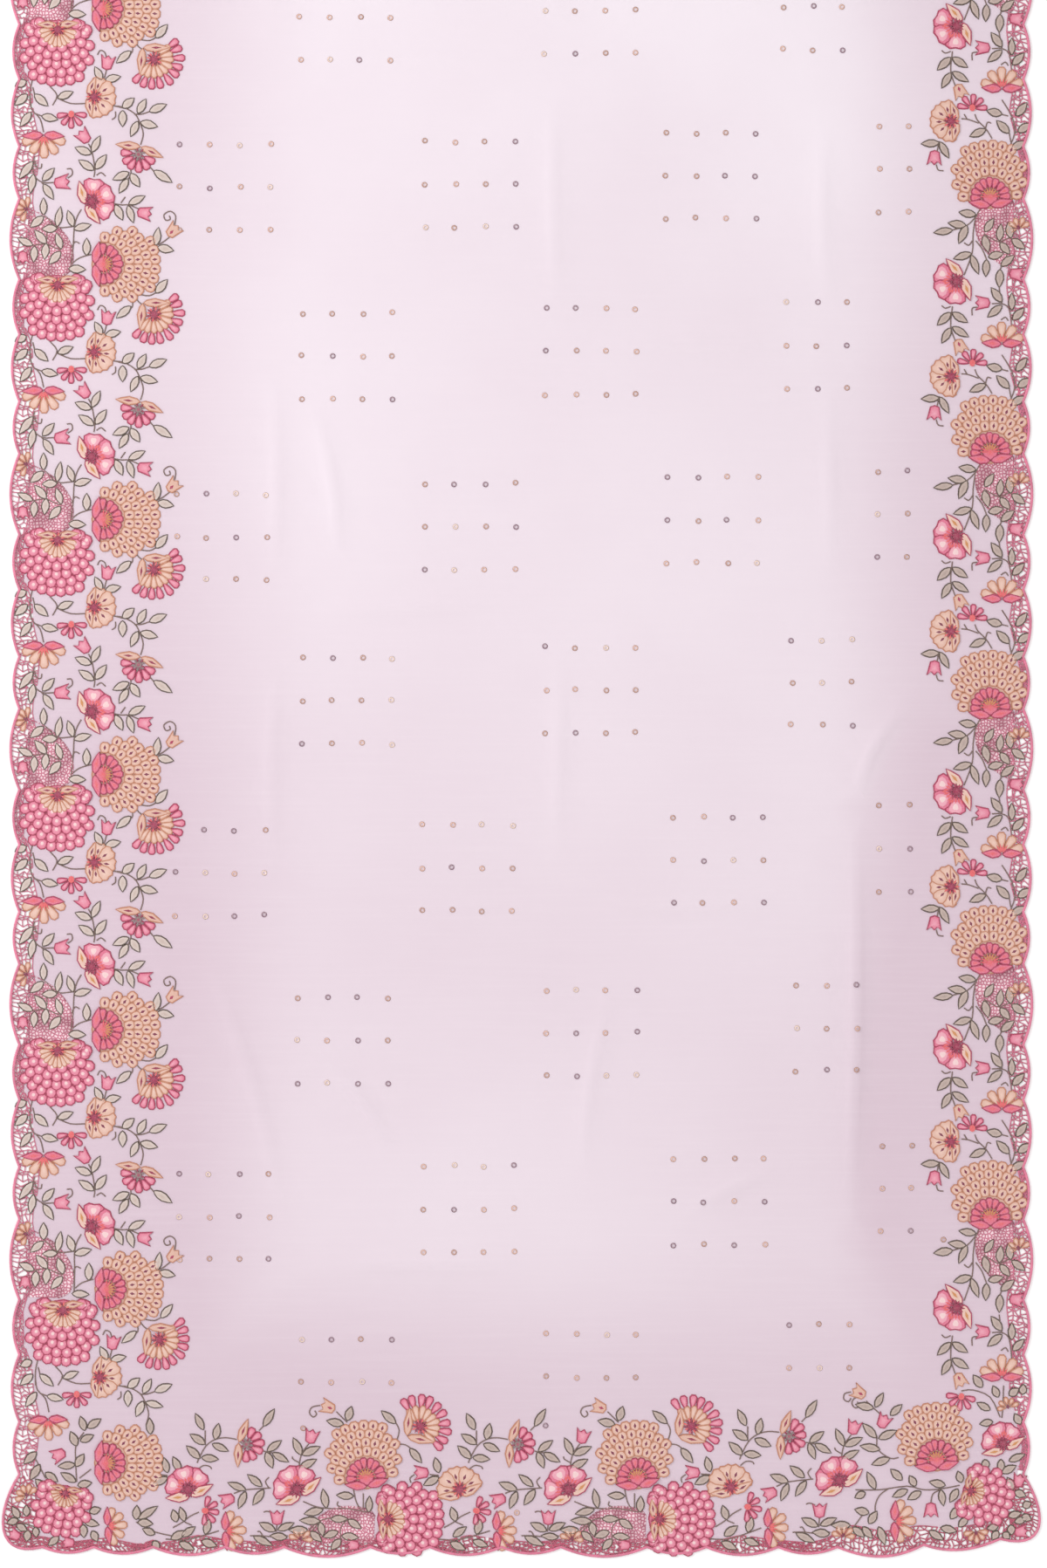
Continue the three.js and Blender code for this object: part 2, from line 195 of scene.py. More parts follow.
WIDE_STEMS = (
    ((108, 138), (105, 127), (102, 120)), ((137, 165), (137, 159), (134, 156)),
    ((140, 169), (144, 164), (148, 161)), ((146, 172), (156, 171), (164, 175)),
    ((45, 120), (53, 110), (48, 99)), ((53, 107), (68, 101), (84, 101)),
    ((26, 129), (23, 115), (23, 99)), ((28, 111), (26, 119)), ((114, 99), (126, 96)),
    ((23, 106), (25, 94), (34, 84), (38, 69)), ((28, 90), (36, 87)),
    ((117, 98), (126, 97), (139, 90), (145, 80), (149, 67), (146, 55)),
    ((139, 89), (147, 89), (156, 92)), ((88, 56), (92, 47), (95, 28), (94, 19)),
    ((156, 31), (161, 25)), ((135, 28), (135, 22), (131, 15)),
    ((114, 274), (125, 272), (133, 272), (145, 267)),
    ((28, 42), (26, 32), (28, 20), (37, 13), (49, 13)), ((36, 13), (41, 7)),
    ((80, 267), (75, 258), (72, 245), (71, 226), (68, 201)), ((70, 207), (78, 213), (91, 217)),
    ((163, 227), (170, 230), (178, 236)), ((39, 260), (44, 256), (53, 247), (71, 248)),
    ((41, 245), (41, 231), (27, 227), (15, 227)), ((41, 229), (57, 222), (58, 231)),
    ((108, 152), (106, 158), (101, 160), (98, 155)), ((69, 224), (73, 231), (78, 229)),
    ((65, 18), (70, 22), (69, 28), (64, 28)), ((28, 37), (30, 30), (35, 29), (36, 34)),
    ((97, 21), (102, 24), (107, 20)), ((118, 92), (118, 86), (114, 83)),
    ((184, 250), (185, 260), (179, 265), (172, 261), (174, 255), (179, 256), (178, 260)),
    ((124, 274), (129, 281)),
)
WIDE_PATCH = ((22, 197), (54, 196), (67, 203), (71, 220), (67, 236), (57, 250), (43, 262), (22, 266))

NARROW_FLOWERS = (
    ("peach_dahlia", -49, 33, 92, 41), ("bud", -16, 258, 110, 10), ("tulip", -19, 208, -8, 14),
    ("pink_blossom", -86, 200, -150, 26), ("peach_tulip", -82, 128, -68, 14),
    ("tulip", -56, 176, 180, 14), ("half", -35, 130, 90, 17), ("spray", -68, 108, 85, 14),
    ("peach_blossom", -92, 94, 184, 24), ("tulip", -110, 54, -93, 14),
)
NARROW_LEAVES = (
    (-64, 274, -83, 277), (-75, 262, -95, 265), (-90, 257, -111, 254), (-74, 262, -83, 242),
    (-69, 231, -89, 225), (-69, 229, -61, 208), (-54, 255, -44, 270), (-55, 251, -50, 232),
    (-38, 245, -36, 264), (-37, 243, -26, 230), (-25, 248, -28, 266), (-24, 247, -9, 236),
    (-50, 227, -33, 231), (-52, 224, -53, 205), (-36, 217, -21, 229), (-37, 213, -38, 193),
    (-92, 165, -107, 151), (-90, 165, -73, 154), (-92, 148, -102, 131), (-90, 149, -72, 138),
    (-35, 177, -47, 193), (-35, 173, -51, 160), (-24, 168, -24, 187), (-23, 157, -10, 170),
    (-35, 102, -52, 106), (-19, 100, -7, 115), (-27, 81, -41, 95), (-17, 82, -3, 92),
    (-53, 85, -71, 77), (-24, 63, -9, 72), (-105, 70, -125, 69), (-104, 71, -94, 53),
)
NARROW_STEMS = (
    ((-58, 282), (-64, 271), (-67, 253), (-68, 232), (-77, 207)), ((-64, 272), (-74, 262), (-90, 257)),
    ((-55, 253), (-47, 248), (-38, 244), (-28, 248), (-24, 247)), ((-52, 224), (-57, 236), (-64, 245)),
    ((-37, 213), (-30, 228), (-27, 232)), ((-38, 193), (-37, 186), (-35, 175)),
    ((-90, 172), (-92, 150), (-87, 134)), ((-46, 175), (-35, 175), (-27, 169), (-24, 149)),
    ((-35, 118), (-28, 107), (-22, 94), (-21, 80), (-25, 69)), ((-65, 102), (-62, 95), (-53, 86), (-46, 75)),
    ((-36, 102), (-28, 100)), ((-80, 97), (-72, 96), (-61, 92)), ((-27, 82), (-25, 71)),
    ((-21, 81), (-17, 83)), ((-105, 72), (-107, 61)), ((-68, 245), (-72, 240), (-77, 243)),
    ((-92, 172), (-98, 170), (-102, 173)), ((-62, 171), (-68, 170), (-68, 162)),
    ((-28, 156), (-31, 160), (-36, 157)), ((-53, 87), (-51, 93), (-47, 92)),
    ((-108, 46), (-106, 40), (-100, 39)), ((-74, 97), (-77, 102)),
)
NARROW_PATCH = ((-57, 280), (-64, 264), (-63, 244), (-54, 227), (-39, 213), (-22, 211), (-22, 280))

# The pallu chart runs along +X from the start of a repeat, and up from the scallop tips.
PALLU_FLOWERS = (
    ("peach_dahlia", 88, 116, 98, 41), ("pearl_dahlia", 138, 46, 0, 40), ("fan", 150, 149, 38, 36),
    ("peach_tulip", 49, 171, 160, 14), ("tulip", 30, 138, 75, 14), ("pink_blossom", 14, 80, 121, 27),
    ("tulip", 153, 98, 180, 14), ("bud", 18, 20, 80, 10), ("tulip", 77, 14, 175, 12),
    ("peach_blossom", 195, 80, 106, 26), ("daisy", 259, 130, -12, 20), ("tulip", 239, 68, 200, 14),
    ("spray", 213, 56, -10, 14), ("half", 236, 31, 2, 16), ("tulip", 294, 47, 90, 14),
)
PALLU_LEAVES = (
    (70, 156, 75, 172), (66, 152, 47, 156), (19, 118, 10, 137), (20, 118, 40, 127), (17, 103, 36, 113),
    (47, 59, 43, 80), (43, 57, 22, 52), (40, 43, 17, 44), (77, 72, 58, 73), (94, 54, 95, 72),
    (26, 32, 5, 32), (52, 46, 71, 46), (71, 45, 86, 35), (40, 42, 43, 26), (29, 30, 42, 19),
    (60, 30, 43, 24), (64, 25, 83, 23), (63, 21, 52, 9), (172, 98, 168, 115), (172, 93, 155, 84),
    (140, 125, 153, 109), (124, 153, 108, 167), (212, 146, 203, 164), (214, 130, 197, 141),
    (208, 114, 193, 128), (225, 135, 229, 153), (222, 130, 240, 122), (210, 115, 229, 113),
    (279, 150, 291, 169), (283, 122, 299, 134), (289, 120, 307, 110), (282, 121, 289, 103),
    (259, 79, 239, 87), (277, 83, 261, 96), (259, 77, 251, 58), (279, 79, 267, 62),
    (191, 43, 186, 59), (214, 27, 219, 44), (188, 24, 203, 35), (292, 31, 274, 40),
    (295, 32, 313, 40), (268, 24, 289, 14), (305, 23, 286, 25), (210, 19, 227, 13), (185, 17, 202, 9),
)
PALLU_STEMS = (
    ((58, 166), (64, 160), (70, 154)), ((27, 130), (19, 118), (16, 102)),
    ((92, 54), (71, 58), (52, 58), (36, 60), (21, 66)), ((77, 80), (80, 66), (85, 57)),
    ((88, 75), (88, 57)), ((127, 130), (135, 129), (141, 125)), ((125, 133), (128, 145), (124, 154)),
    ((162, 96), (172, 95)), ((71, 45), (52, 47), (37, 42), (26, 30)), ((63, 21), (63, 35), (70, 45)),
    ((40, 43), (30, 30)), ((205, 109), (208, 116), (215, 128), (225, 135), (237, 137), (249, 135)),
    ((214, 145), (214, 129)), ((274, 145), (279, 150)), ((279, 122), (289, 120)),
    ((246, 75), (259, 79), (287, 81)), ((207, 54), (197, 49), (189, 42), (178, 35)),
    ((294, 40), (293, 30)), ((170, 21), (191, 20), (211, 25), (229, 31)),
    ((264, 25), (276, 25), (296, 23), (306, 25)),
    ((40, 173), (31, 171), (28, 165), (32, 160), (36, 163), (34, 167)), ((17, 109), (10, 113), (9, 116)),
    ((63, 60), (59, 62), (60, 66)), ((145, 96), (140, 92), (141, 87)),
    ((206, 102), (212, 106), (219, 105), (221, 102)), ((285, 81), (281, 88), (285, 93)),
    ((289, 53), (283, 55), (279, 54)), ((278, 25), (275, 30), (272, 30)), ((191, 42), (199, 38)),
)
PALLU_PATCH = ((100, 17), (101, 46), (93, 54), (70, 57), (51, 53), (35, 42), (25, 28), (21, 17))

# The corner charts run from the middle of the width, and up from the line of the pallu tips.
LEFT_FLOWERS = (
    ("peach_dahlia", -439, 109, 0, 41), ("pearl_dahlia", -512, 58, -104, 32),
    ("half", -527, 158, -88, 16), ("tulip", -515, 118, 205, 14), ("half", -461, 37, 4, 15),
    ("bud", -550, 72, 120, 10), ("tulip", -564, 26, 150, 12), ("tulip", -504, 17, 175, 12),
)
LEFT_LEAVES = (
    (-486, 145, -491, 161), (-483, 148, -468, 158), (-495, 128, -502, 144), (-491, 133, -476, 140),
    (-496, 105, -487, 119), (-497, 107, -516, 105), (-496, 88, -513, 98), (-494, 84, -478, 87),
    (-540, 121, -554, 108), (-536, 107, -547, 90), (-530, 98, -516, 88), (-530, 79, -541, 91),
    (-481, 54, -468, 58), (-487, 43, -470, 39), (-488, 39, -487, 24), (-478, 31, -472, 19),
    (-429, 45, -428, 61), (-426, 46, -405, 60), (-427, 42, -410, 40), (-384, 42, -388, 56),
    (-408, 27, -422, 33), (-390, 21, -373, 30), (-410, 19, -403, 9), (-559, 47, -567, 60),
    (-551, 49, -551, 62), (-560, 45, -573, 41), (-562, 39, -550, 32), (-549, 32, -551, 19),
    (-541, 36, -540, 24), (-515, 24, -527, 14), (-380, 100, -388, 116), (-413, 141, -414, 159),
)
LEFT_STEMS = (
    ((-487, 143), (-496, 129), (-496, 105), (-495, 88)), ((-492, 92), (-479, 102)),
    ((-510, 30), (-497, 36), (-487, 42)), ((-429, 42), (-409, 30), (-385, 24)),
    ((-546, 121), (-538, 108), (-530, 92)), ((-561, 45), (-548, 38), (-530, 34)),
)
RIGHT_FLOWERS = (
    ("peach_dahlia", 460, 136, 96, 41), ("pink_blossom", 536, 131, 112, 24),
    ("pearl_dahlia", 517, 72, -20, 32), ("spray", 490, 184, -100, 14), ("tulip", 403, 155, 62, 14),
    ("half", 415, 43, 0, 17), ("tulip", 456, 57, -90, 14), ("bud", 506, 31, -85, 10),
    ("tulip", 554, 89, 75, 13), ("tulip", 556, 30, 10, 13), ("peach_tulip", 376, 187, 150, 14),
    ("bud", 542, 170, 105, 9),
)
RIGHT_LEAVES = (
    (394, 171, 403, 187), (392, 170, 372, 174), (411, 162, 424, 174), (395, 137, 380, 153),
    (398, 136, 418, 145), (399, 124, 377, 128), (410, 114, 390, 107), (394, 80, 385, 99),
    (424, 90, 411, 102), (430, 79, 413, 71), (439, 83, 432, 95), (445, 77, 430, 68), (472, 84, 454, 88),
    (467, 79, 470, 61), (486, 80, 477, 65), (490, 87, 486, 100), (383, 76, 371, 70), (387, 53, 371, 57),
    (387, 40, 396, 54), (380, 36, 391, 23), (398, 36, 405, 16), (478, 46, 489, 61), (467, 35, 485, 31),
    (454, 31, 470, 21), (487, 36, 498, 48), (522, 168, 507, 176), (531, 182, 525, 195), (513, 193, 503, 207),
    (525, 155, 510, 152), (543, 184, 554, 192), (558, 185, 559, 197), (556, 152, 549, 164),
    (543, 111, 561, 119), (535, 98, 551, 106), (534, 113, 534, 98), (516, 113, 518, 101),
    (548, 79, 541, 93), (549, 77, 562, 72), (558, 60, 568, 65), (557, 50, 568, 45), (542, 49, 557, 53),
    (549, 42, 563, 46), (545, 39, 546, 27), (531, 37, 518, 34), (531, 31, 524, 21), (536, 29, 544, 22),
)
RIGHT_STEMS = (
    ((372, 79), (399, 79), (429, 83), (448, 79), (467, 80), (488, 84)),
    ((396, 139), (397, 124), (411, 114), (420, 115)),
    ((395, 47), (394, 61), (399, 73), (410, 81)), ((490, 189), (503, 190), (522, 182), (533, 160)),
    ((537, 195), (536, 170), (535, 159)), ((456, 64), (458, 74), (466, 79)),
    ((547, 40), (553, 48), (558, 57)),
    ((384, 178), (390, 172), (401, 162)), ((367, 188), (360, 186), (359, 180), (364, 177), (367, 181)),
)
# Repeats that a corner or the hem cuts short keep what lies between these places.
WIDE_FIRST_FROM = 76
WIDE_LAST_TO = 268
NARROW_FIRST_FROM = 116
PALLU_FIRST_FROM = 168
PALLU_LAST_TO = 34
# In the first, part repeat of the pallu this flower is pink.
PALLU_SWAPS = {"peach_blossom": "pink_blossom"}
# Motifs of the pallu lie lower than charted from a height on, and rise towards the narrow border.
PALLU_SETTLE = {"amount": 3.5, "from": 12, "to": 60}
PALLU_STRETCH = {"amount": 10, "from_x": 180, "to_x": 330, "full_height": 60}
# At the corners the side charts are moved inwards, or drawn down to meet the pallu.
LEFT_SHIFT = {"amount": 6, "from": 160, "to": 260}
RIGHT_DROP = {"amount": 5, "per_mm": 0.115}

# Sequins: groups of three rows in two alternating columns of groups.
SEQUIN_STEP = (33.5, 47.6)
SEQUIN_ROWS = 3
SEQUIN_FIRST_ROWS = 2
SEQUIN_CLEAR_OF_HEM = 60
SEQUIN_FIRST_Y = -2507
SEQUIN_ROW_PITCH = 190.3
SEQUIN_COLUMNS = (
    ((-245, 4), (27, 4), (297, 3)),
    ((-381, 4), (-109, 4), (161, 4), (397, 2)),
)
# The rows climb a little towards the narrow border, and some groups lie out of line.
SEQUIN_RISE = 6
SEQUIN_CLIMB = 0.026
SEQUIN_NUDGES = {(1, 2): (9, 0), (2, 2): (9, 0), (3, 2): (8, 0), (3, 0): (-5, 0), (2, 0): (-4, 0),
                 (1, 3): (4, 9), (3, 3): (2, 7), (4, 2): (4, 4), (5, 0): (-3, -7), (8, 2): (-6, -5)}
SEQUIN_STRAYS = ((-5, -2700), (27, -2603), (-243, -2606), (470, -2396))

# ---- Edges --------------------------------------------------------------------------------


def scallops_between(start, end, anchor, chords):
    """Both ends of each scallop of one straight edge."""
    pitch = sum(chords)
    place = anchor - pitch * math.ceil((anchor - start) / pitch)
    found = []
    turn = 0
    while place < end:
        chord = chords[turn % len(chords)]
        low, high = max(place, start), min(place + chord, end)
        if high - low >= SHORTEST_CHORD:
            found.append([low, high])
        place += chord
        turn += 1
    found[0][0], found[-1][1] = start, end
    return found


def rise_at(scallops, along):
    """How far the edge stands out beyond its cusps."""
    low, high = next((s for s in scallops if along <= s[1]), scallops[-1])
    offset = (2 * along - low - high) / (high - low)
    return SCALLOP_RISE * (high - low) * max(0.0, 1 - offset * offset)


SIDE_SCALLOPS = scallops_between(SIDE_START, LENGTH / 2, SIDE_START, SIDE_CHORDS)
PALLU_SCALLOPS = scallops_between(-CORNER_END_X, CORNER_END_X, PALLU_START, PALLU_CHORDS)


def smooth(value, low, high):
    """From 0 up to low to 1 from high on, with a soft change between them."""
    share = np.clip((value - low) / (high - low), 0, 1)
    return share * share * (3 - 2 * share)


def side_point(side, y):
    """The place on a scalloped side edge at this height."""
    return (side * (SIDE_CUSP_X + rise_at(SIDE_SCALLOPS, y)), y)


def drawn_up(x):
    """How far the pallu edge draws up here."""
    return DRAWN_UP["height"] * smooth(x, DRAWN_UP["from_x"], DRAWN_UP["to_x"])


def pallu_point(x):
    """The place on the pallu's scalloped edge at this x."""
    return (x, PALLU_CUSP_Y + drawn_up(x) - rise_at(PALLU_SCALLOPS, x))


def places_along(scallops, step):
    """Even places along every scallop, each cusp once."""
    places = [scallops[0][0]]
    for low, high in scallops:
        count = max(4, round((high - low) / step))
        places += [low + (high - low) * (i + 1) / count for i in range(count)]
    return places


def corner_lobe(side, count=14):
    """The lobe from the side cusp to the pallu cusp, without its two ends."""
    a = np.array(side_point(side, SIDE_START))
    d = np.array(pallu_point(side * CORNER_END_X))
    b = np.array((side * CORNER_REACH, a[1] - CORNER_SHOULDER))
    c = np.array((side * CORNER_REACH, d[1] - CORNER_DROP))
    points = []
    for i in range(1, count):
        t = i / count
        s = 1 - t
        points.append(tuple(s ** 3 * a + 3 * s * s * t * b + 3 * s * t * t * c + t ** 3 * d))
    return points


def side_edge(side, step=RIM_STEP):
    """From the corner cusp up to the hem."""
    return [side_point(side, y) for y in places_along(SIDE_SCALLOPS, step)]


def pallu_edge(step=RIM_STEP):
    """From the left side cusp round the pallu end to the right side cusp."""
    straight = [pallu_point(x) for x in places_along(PALLU_SCALLOPS, step)]
    return [side_point(-1, SIDE_START), *corner_lobe(-1), *straight,
            *reversed(corner_lobe(1)), side_point(1, SIDE_START)]


def moved_in(edge, distance):
    """An edge with the cloth on its left, moved towards the cloth."""
    points = np.array(edge)
    run = np.empty_like(points)
    run[1:-1] = points[2:] - points[:-2]
    run[0], run[-1] = points[1] - points[0], points[-1] - points[-2]
    run /= np.linalg.norm(run, axis=1)[:, None]
    return points + distance * np.column_stack((-run[:, 1], run[:, 0]))


def net_depth(depths, along, pitch):
    """The depth at a place along repeats of (place, depth) pairs."""
    return np.interp(along, *zip(*depths), period=pitch)


def inner_line(edge, start=SIDE_START):
    """Where the sheer cloth ends and the open net begins, for an edge with the cloth on its left."""
    line = []
    for x, y in moved_in(edge, NET_DEPTH):
        low = -WIDTH / 2 + net_depth(WIDE_NET, y - start, SIDE_PITCH)
        high = WIDTH / 2 - net_depth(NARROW_NET, y - start, SIDE_PITCH)
        x = min(max(x, low), high)
        depth = net_depth(PALLU_NET, x - PALLU_START, PALLU_PITCH)
        depth += CORNER_NET["deeper"] * smooth(x, CORNER_NET["from_x"], CORNER_NET["to_x"])
        line.append((x, max(y, -LENGTH / 2 + depth + drawn_up(x))))
    return line


RIM = [*reversed(side_edge(-1)), *pallu_edge()[1:-1], *side_edge(1)]

# ---- Creases ------------------------------------------------------------------------------


def press_creases():
    """Creases from crossing to crossing, each fading out before it gets there."""
    found = []
    columns = (-WIDTH / 2 + WIDE_BORDER, *CREASE_COLUMNS, WIDTH / 2 - NARROW_BORDER)
    inset, bow = CREASE["inset"], CREASE["bow"]
    for row, y in enumerate(CREASE_ROWS):
        for column, x in enumerate(columns[:-1]):
            span = columns[column + 1] - x
            if span < 4 * inset or (row + column) % 2 == 0:
                continue
            sway = bow * math.sin(3 * row + column)
            found.append((x + inset, y, x + span - inset * (1 + 0.5 * (row % 2)), y + sway, sway))
    for row, y in enumerate(CREASE_ROWS[:-1]):
        for column, x in enumerate(CREASE_COLUMNS):
            if (row + column) % 3 == 0:
                continue
            end = CREASE_ROWS[row + 1] - inset * (1 + 0.7 * ((row + column) % 2))
            found.append((x, y + inset, x + bow * math.cos(row), end, bow * math.sin(2 * row + column)))
    return found


def clear_of_folds(crease):
    """A press crease gives way to a larger fold that runs through its place."""
    room = 2 * CREASE["half"] + CREASE["bow"]
    x0, x1 = sorted((crease[0], crease[2]))
    y0, y1 = sorted((crease[1], crease[3]))
    for _name, from_x, from_y, to_x, to_y, *_rest in FOLDS:
        apart_x = min(from_x, to_x) - room > x1 or max(from_x, to_x) + room < x0
        apart_y = min(from_y, to_y) - room > y1 or max(from_y, to_y) + room < y0
        if not (apart_x or apart_y):
            return False
    return True


CREASES = [fold[1:] for fold in FOLDS]
CREASES += [(*c, CREASE["rise"], CREASE["half"]) for c in press_creases() if clear_of_folds(c)]
SOFTNESS = 1.5


def crease_frame(crease):
    """A crease's start, its direction, the direction across it, and its length."""
    start, end = np.array(crease[0:2], float), np.array(crease[2:4], float)
    length = np.linalg.norm(end - start)
    run = (end - start) / length
    return start, run, np.array((-run[1], run[0])), length


def lift(x, y):
    """Height of the cloth over the flat, at arrays of places."""
    x, y = np.asarray(x, float), np.asarray(y, float)
    height = np.zeros_like(x)
    for crease in CREASES:
        start, run, across, length = crease_frame(crease)
        bow, rise, half = crease[4:7]
        reach = half * SOFTNESS
        dx, dy = x - start[0], y - start[1]
        share = (dx * run[0] + dy * run[1]) / length
        swell = np.sin(np.pi * np.clip(share, 0, 1))
        away = np.abs(dx * across[0] + dy * across[1] - bow * swell) / reach
        ridge = np.where(away < 1, np.cos(0.5 * np.pi * np.clip(away, 0, 1)) ** 2, 0)
        height = np.maximum(height, rise * swell * ridge)
    return height


# ---- Making objects -----------------------------------------------------------------------


def add_node(tree, kind, inputs=None, **settings):
    """A node with its settings, and its inputs by name or place: values, or sockets to link."""
    node = tree.nodes.new(kind)
    for name, value in settings.items():
        setattr(node, name, value)
    for name, value in (inputs or {}).items():
        if isinstance(value, bpy.types.NodeSocket):
            tree.links.new(value, node.inputs[name])
        else:
            node.inputs[name].default_value = value
    return node


def new_tree(name, inputs):
    """A geometry tree with a Geometry input and these named ones: (name, socket type)."""
    tree = bpy.data.node_groups.new(name, "GeometryNodeTree")
    for label, kind in (("Geometry", "NodeSocketGeometry"), *inputs):
        tree.interface.new_socket(name=label, in_out="INPUT", socket_type=kind)
    tree.interface.new_socket(name="Geometry", in_out="OUTPUT", socket_type="NodeSocketGeometry")
    return tree, tree.nodes.new("NodeGroupInput").outputs


def close_tree(tree, geometry, material):
    """Realize Instances and Set Material at a tree's end."""
    real = add_node(tree, "GeometryNodeRealizeInstances", {"Geometry": geometry})
    finish = add_node(tree, "GeometryNodeSetMaterial", {"Geometry": real.outputs[0], "Material": material})
    tree.links.new(finish.outputs[0], tree.nodes.new("NodeGroupOutput").inputs[0])


def new_object(name, mesh):
    piece = bpy.data.objects.new(name, mesh)
    bpy.context.scene.collection.objects.link(piece)
    return piece


def made_plain(piece, tree, values):
    """The piece with its tree's result as a plain mesh."""
    modifier = piece.modifiers.new("make", "NODES")
    modifier.node_group = tree
    for item in tree.interface.items_tree:
        if item.in_out == "INPUT" and item.name in values:
            modifier[item.identifier] = values[item.name]
    shown = bpy.context.evaluated_depsgraph_get()
    mesh = bpy.data.meshes.new_from_object(piece.evaluated_get(shown), depsgraph=shown)
    piece.modifiers.clear()
    drafts = piece.data
    piece.data = mesh
    bpy.data.meshes.remove(drafts)
    mesh.name = piece.name
    return piece


def laid_on_cloth(piece, floor_z=0.0, flatten=1.0):
    """Raises every point with the cloth's creases, and turns millimetres into metres."""
    count = len(piece.data.vertices)
    points = np.empty(3 * count)
    piece.data.vertices.foreach_get("co", points)
    points = points.reshape(-1, 3)
    height = floor_z + flatten * points[:, 2] + lift(points[:, 0], points[:, 1])
    points[:, 2] = np.maximum(height, 0)
    piece.data.vertices.foreach_set("co", (points * MM).ravel())
    piece.data.update()
    return piece


def path_mesh(name, paths):
    """A mesh of bare edges, one run of them for each path."""
    points, edges = [], []
    for path in paths:
        first = len(points)
        points += [(p[0], p[1], p[2] if len(p) > 2 else 0.0) for p in path]
        edges += [(first + i, first + i + 1) for i in range(len(path) - 1)]
    mesh = bpy.data.meshes.new(name)
    mesh.from_pydata(points, edges, [])
    return mesh


# ---- Stitched shapes ----------------------------------------------------------------------


class Place:
    """A place on the cloth with a heading: shapes are drawn ahead of it."""

    def __init__(self, x, y, heading=0.0):
        self.x, self.y, self.heading = x, y, heading
        self.cos = math.cos(math.radians(heading))
        self.sin = math.sin(math.radians(heading))

    def at(self, along, across):
        return (self.x + along * self.cos - across * self.sin, self.y + along * self.sin + across * self.cos)

    def moved(self, along, across=0.0, turn=0.0):
        return Place(*self.at(along, across), self.heading + turn)

    def turned(self, turn, along=0.0):
        """Turned first, then moved ahead."""
        return Place(self.x, self.y, self.heading + turn).moved(along)


def both_sides(half, tip=None):
    """An outline ahead of the origin from its lower half, as shares of length and half width."""
    lower = [(along, -across) for along, across in half]
    upper = [(along, across) for along, across in reversed(half)]
    return [(0.0, 0.0), *lower, *([tip] if tip else []), *upper]


def round_shape(count):
    """A circle of this many points ahead of the origin, as such shares."""
    angles = (2 * math.pi * i / count for i in range(count))
    return [(0.5 - 0.5 * math.cos(angle), -math.sin(angle)) for angle in angles]


LEAF = both_sides(((0.1, 0.52), (0.3, 0.94), (0.55, 1.0), (0.8, 0.6)), tip=(1.0, 0.0))
BRACT = both_sides(((0.14, 0.66), (0.45, 1.0), (0.78, 0.55)), tip=(1.0, 0.0))
PETAL = both_sides(((0.3, 0.5), (0.64, 0.98), (0.88, 0.8), (1.0, 0.28)))
FINGER = both_sides(((0.08, 0.42), (0.44, 0.84), (0.8, 1.0), (0.99, 0.5)))
LOBE = both_sides(((0.14, 0.54), (0.5, 0.96), (0.82, 1.0), (1.0, 0.52)), tip=(0.95, 0.0))
SCALE = both_sides(((0.04, 0.62), (0.4, 1.0), (0.76, 0.9), (0.96, 0.46)))
HEAD = round_shape(16)
TULIP = both_sides(((0.12, 0.62), (0.5, 0.78), (1.0, 1.0), (0.78, 0.46)), tip=(1.0, 0.0))
DISC = round_shape(8)
SEED = ((0.0, 0.0), (0.45, -1.0), (1.0, 0.0), (0.45, 1.0))


def inset(outline, distance):
    """An anticlockwise outline moved inwards."""
    points = np.array(outline)
    run = np.roll(points, -1, axis=0) - np.roll(points, 1, axis=0)
    run /= np.linalg.norm(run, axis=1)[:, None]
    return points + distance * np.column_stack((-run[:, 1], run[:, 0]))


def stitched_rings(outline, levels, at):
    """The outline moved in by each level's amount, at its height, for Needlework.add."""
    rings = []
    for amount, height in levels:
        drawn = inset(outline, amount) if amount else outline
        rings.append(([at(*p) for p in drawn], height, [(*p, 0.0) for p in drawn]))
    return rings


CORD_WIDTH = 1.7
# Heights: of the lowest pad's cord over the cloth, and of each layer over the one below.
PAD_HEIGHT = 1.1
LAYER_STEP = 0.24
# Where the cord's crest is, as a share of its width. How far the fill lies below it, and its dome.
CORD_CREST = 0.3
FILL_SUNK = 0.14
FILL_DOME = 0.1
KNOT_FOOT = 0.08
# A dotted centre: its core, and the stitches round it, per millimetre and as shares of its radius.
CENTRE = {"core": 0.56, "count": 1.6, "fewest": 8, "sway": 0.25, "foot": 0.4, "long": (0.5, 0.72),
          "wide": 2.3, "proud": 0.5}
# Streaks: where one starts, its length and its width, as shares of its petal's.
PETAL_STREAK = (0.28, 0.36, 0.17)
BRACT_STREAK = (0.3, 0.38, 0.24)
# How much petals and bracts differ in length, and petals in heading, in degrees.
PETAL_VARIES = (0.95, 1.05)
BRACT_VARIES = (0.96, 1.04)
PETAL_SWAY = 2


def pad_top(layer):
    """Height of the cord round a pad of this layer."""
    return PAD_HEIGHT + LAYER_STEP * layer


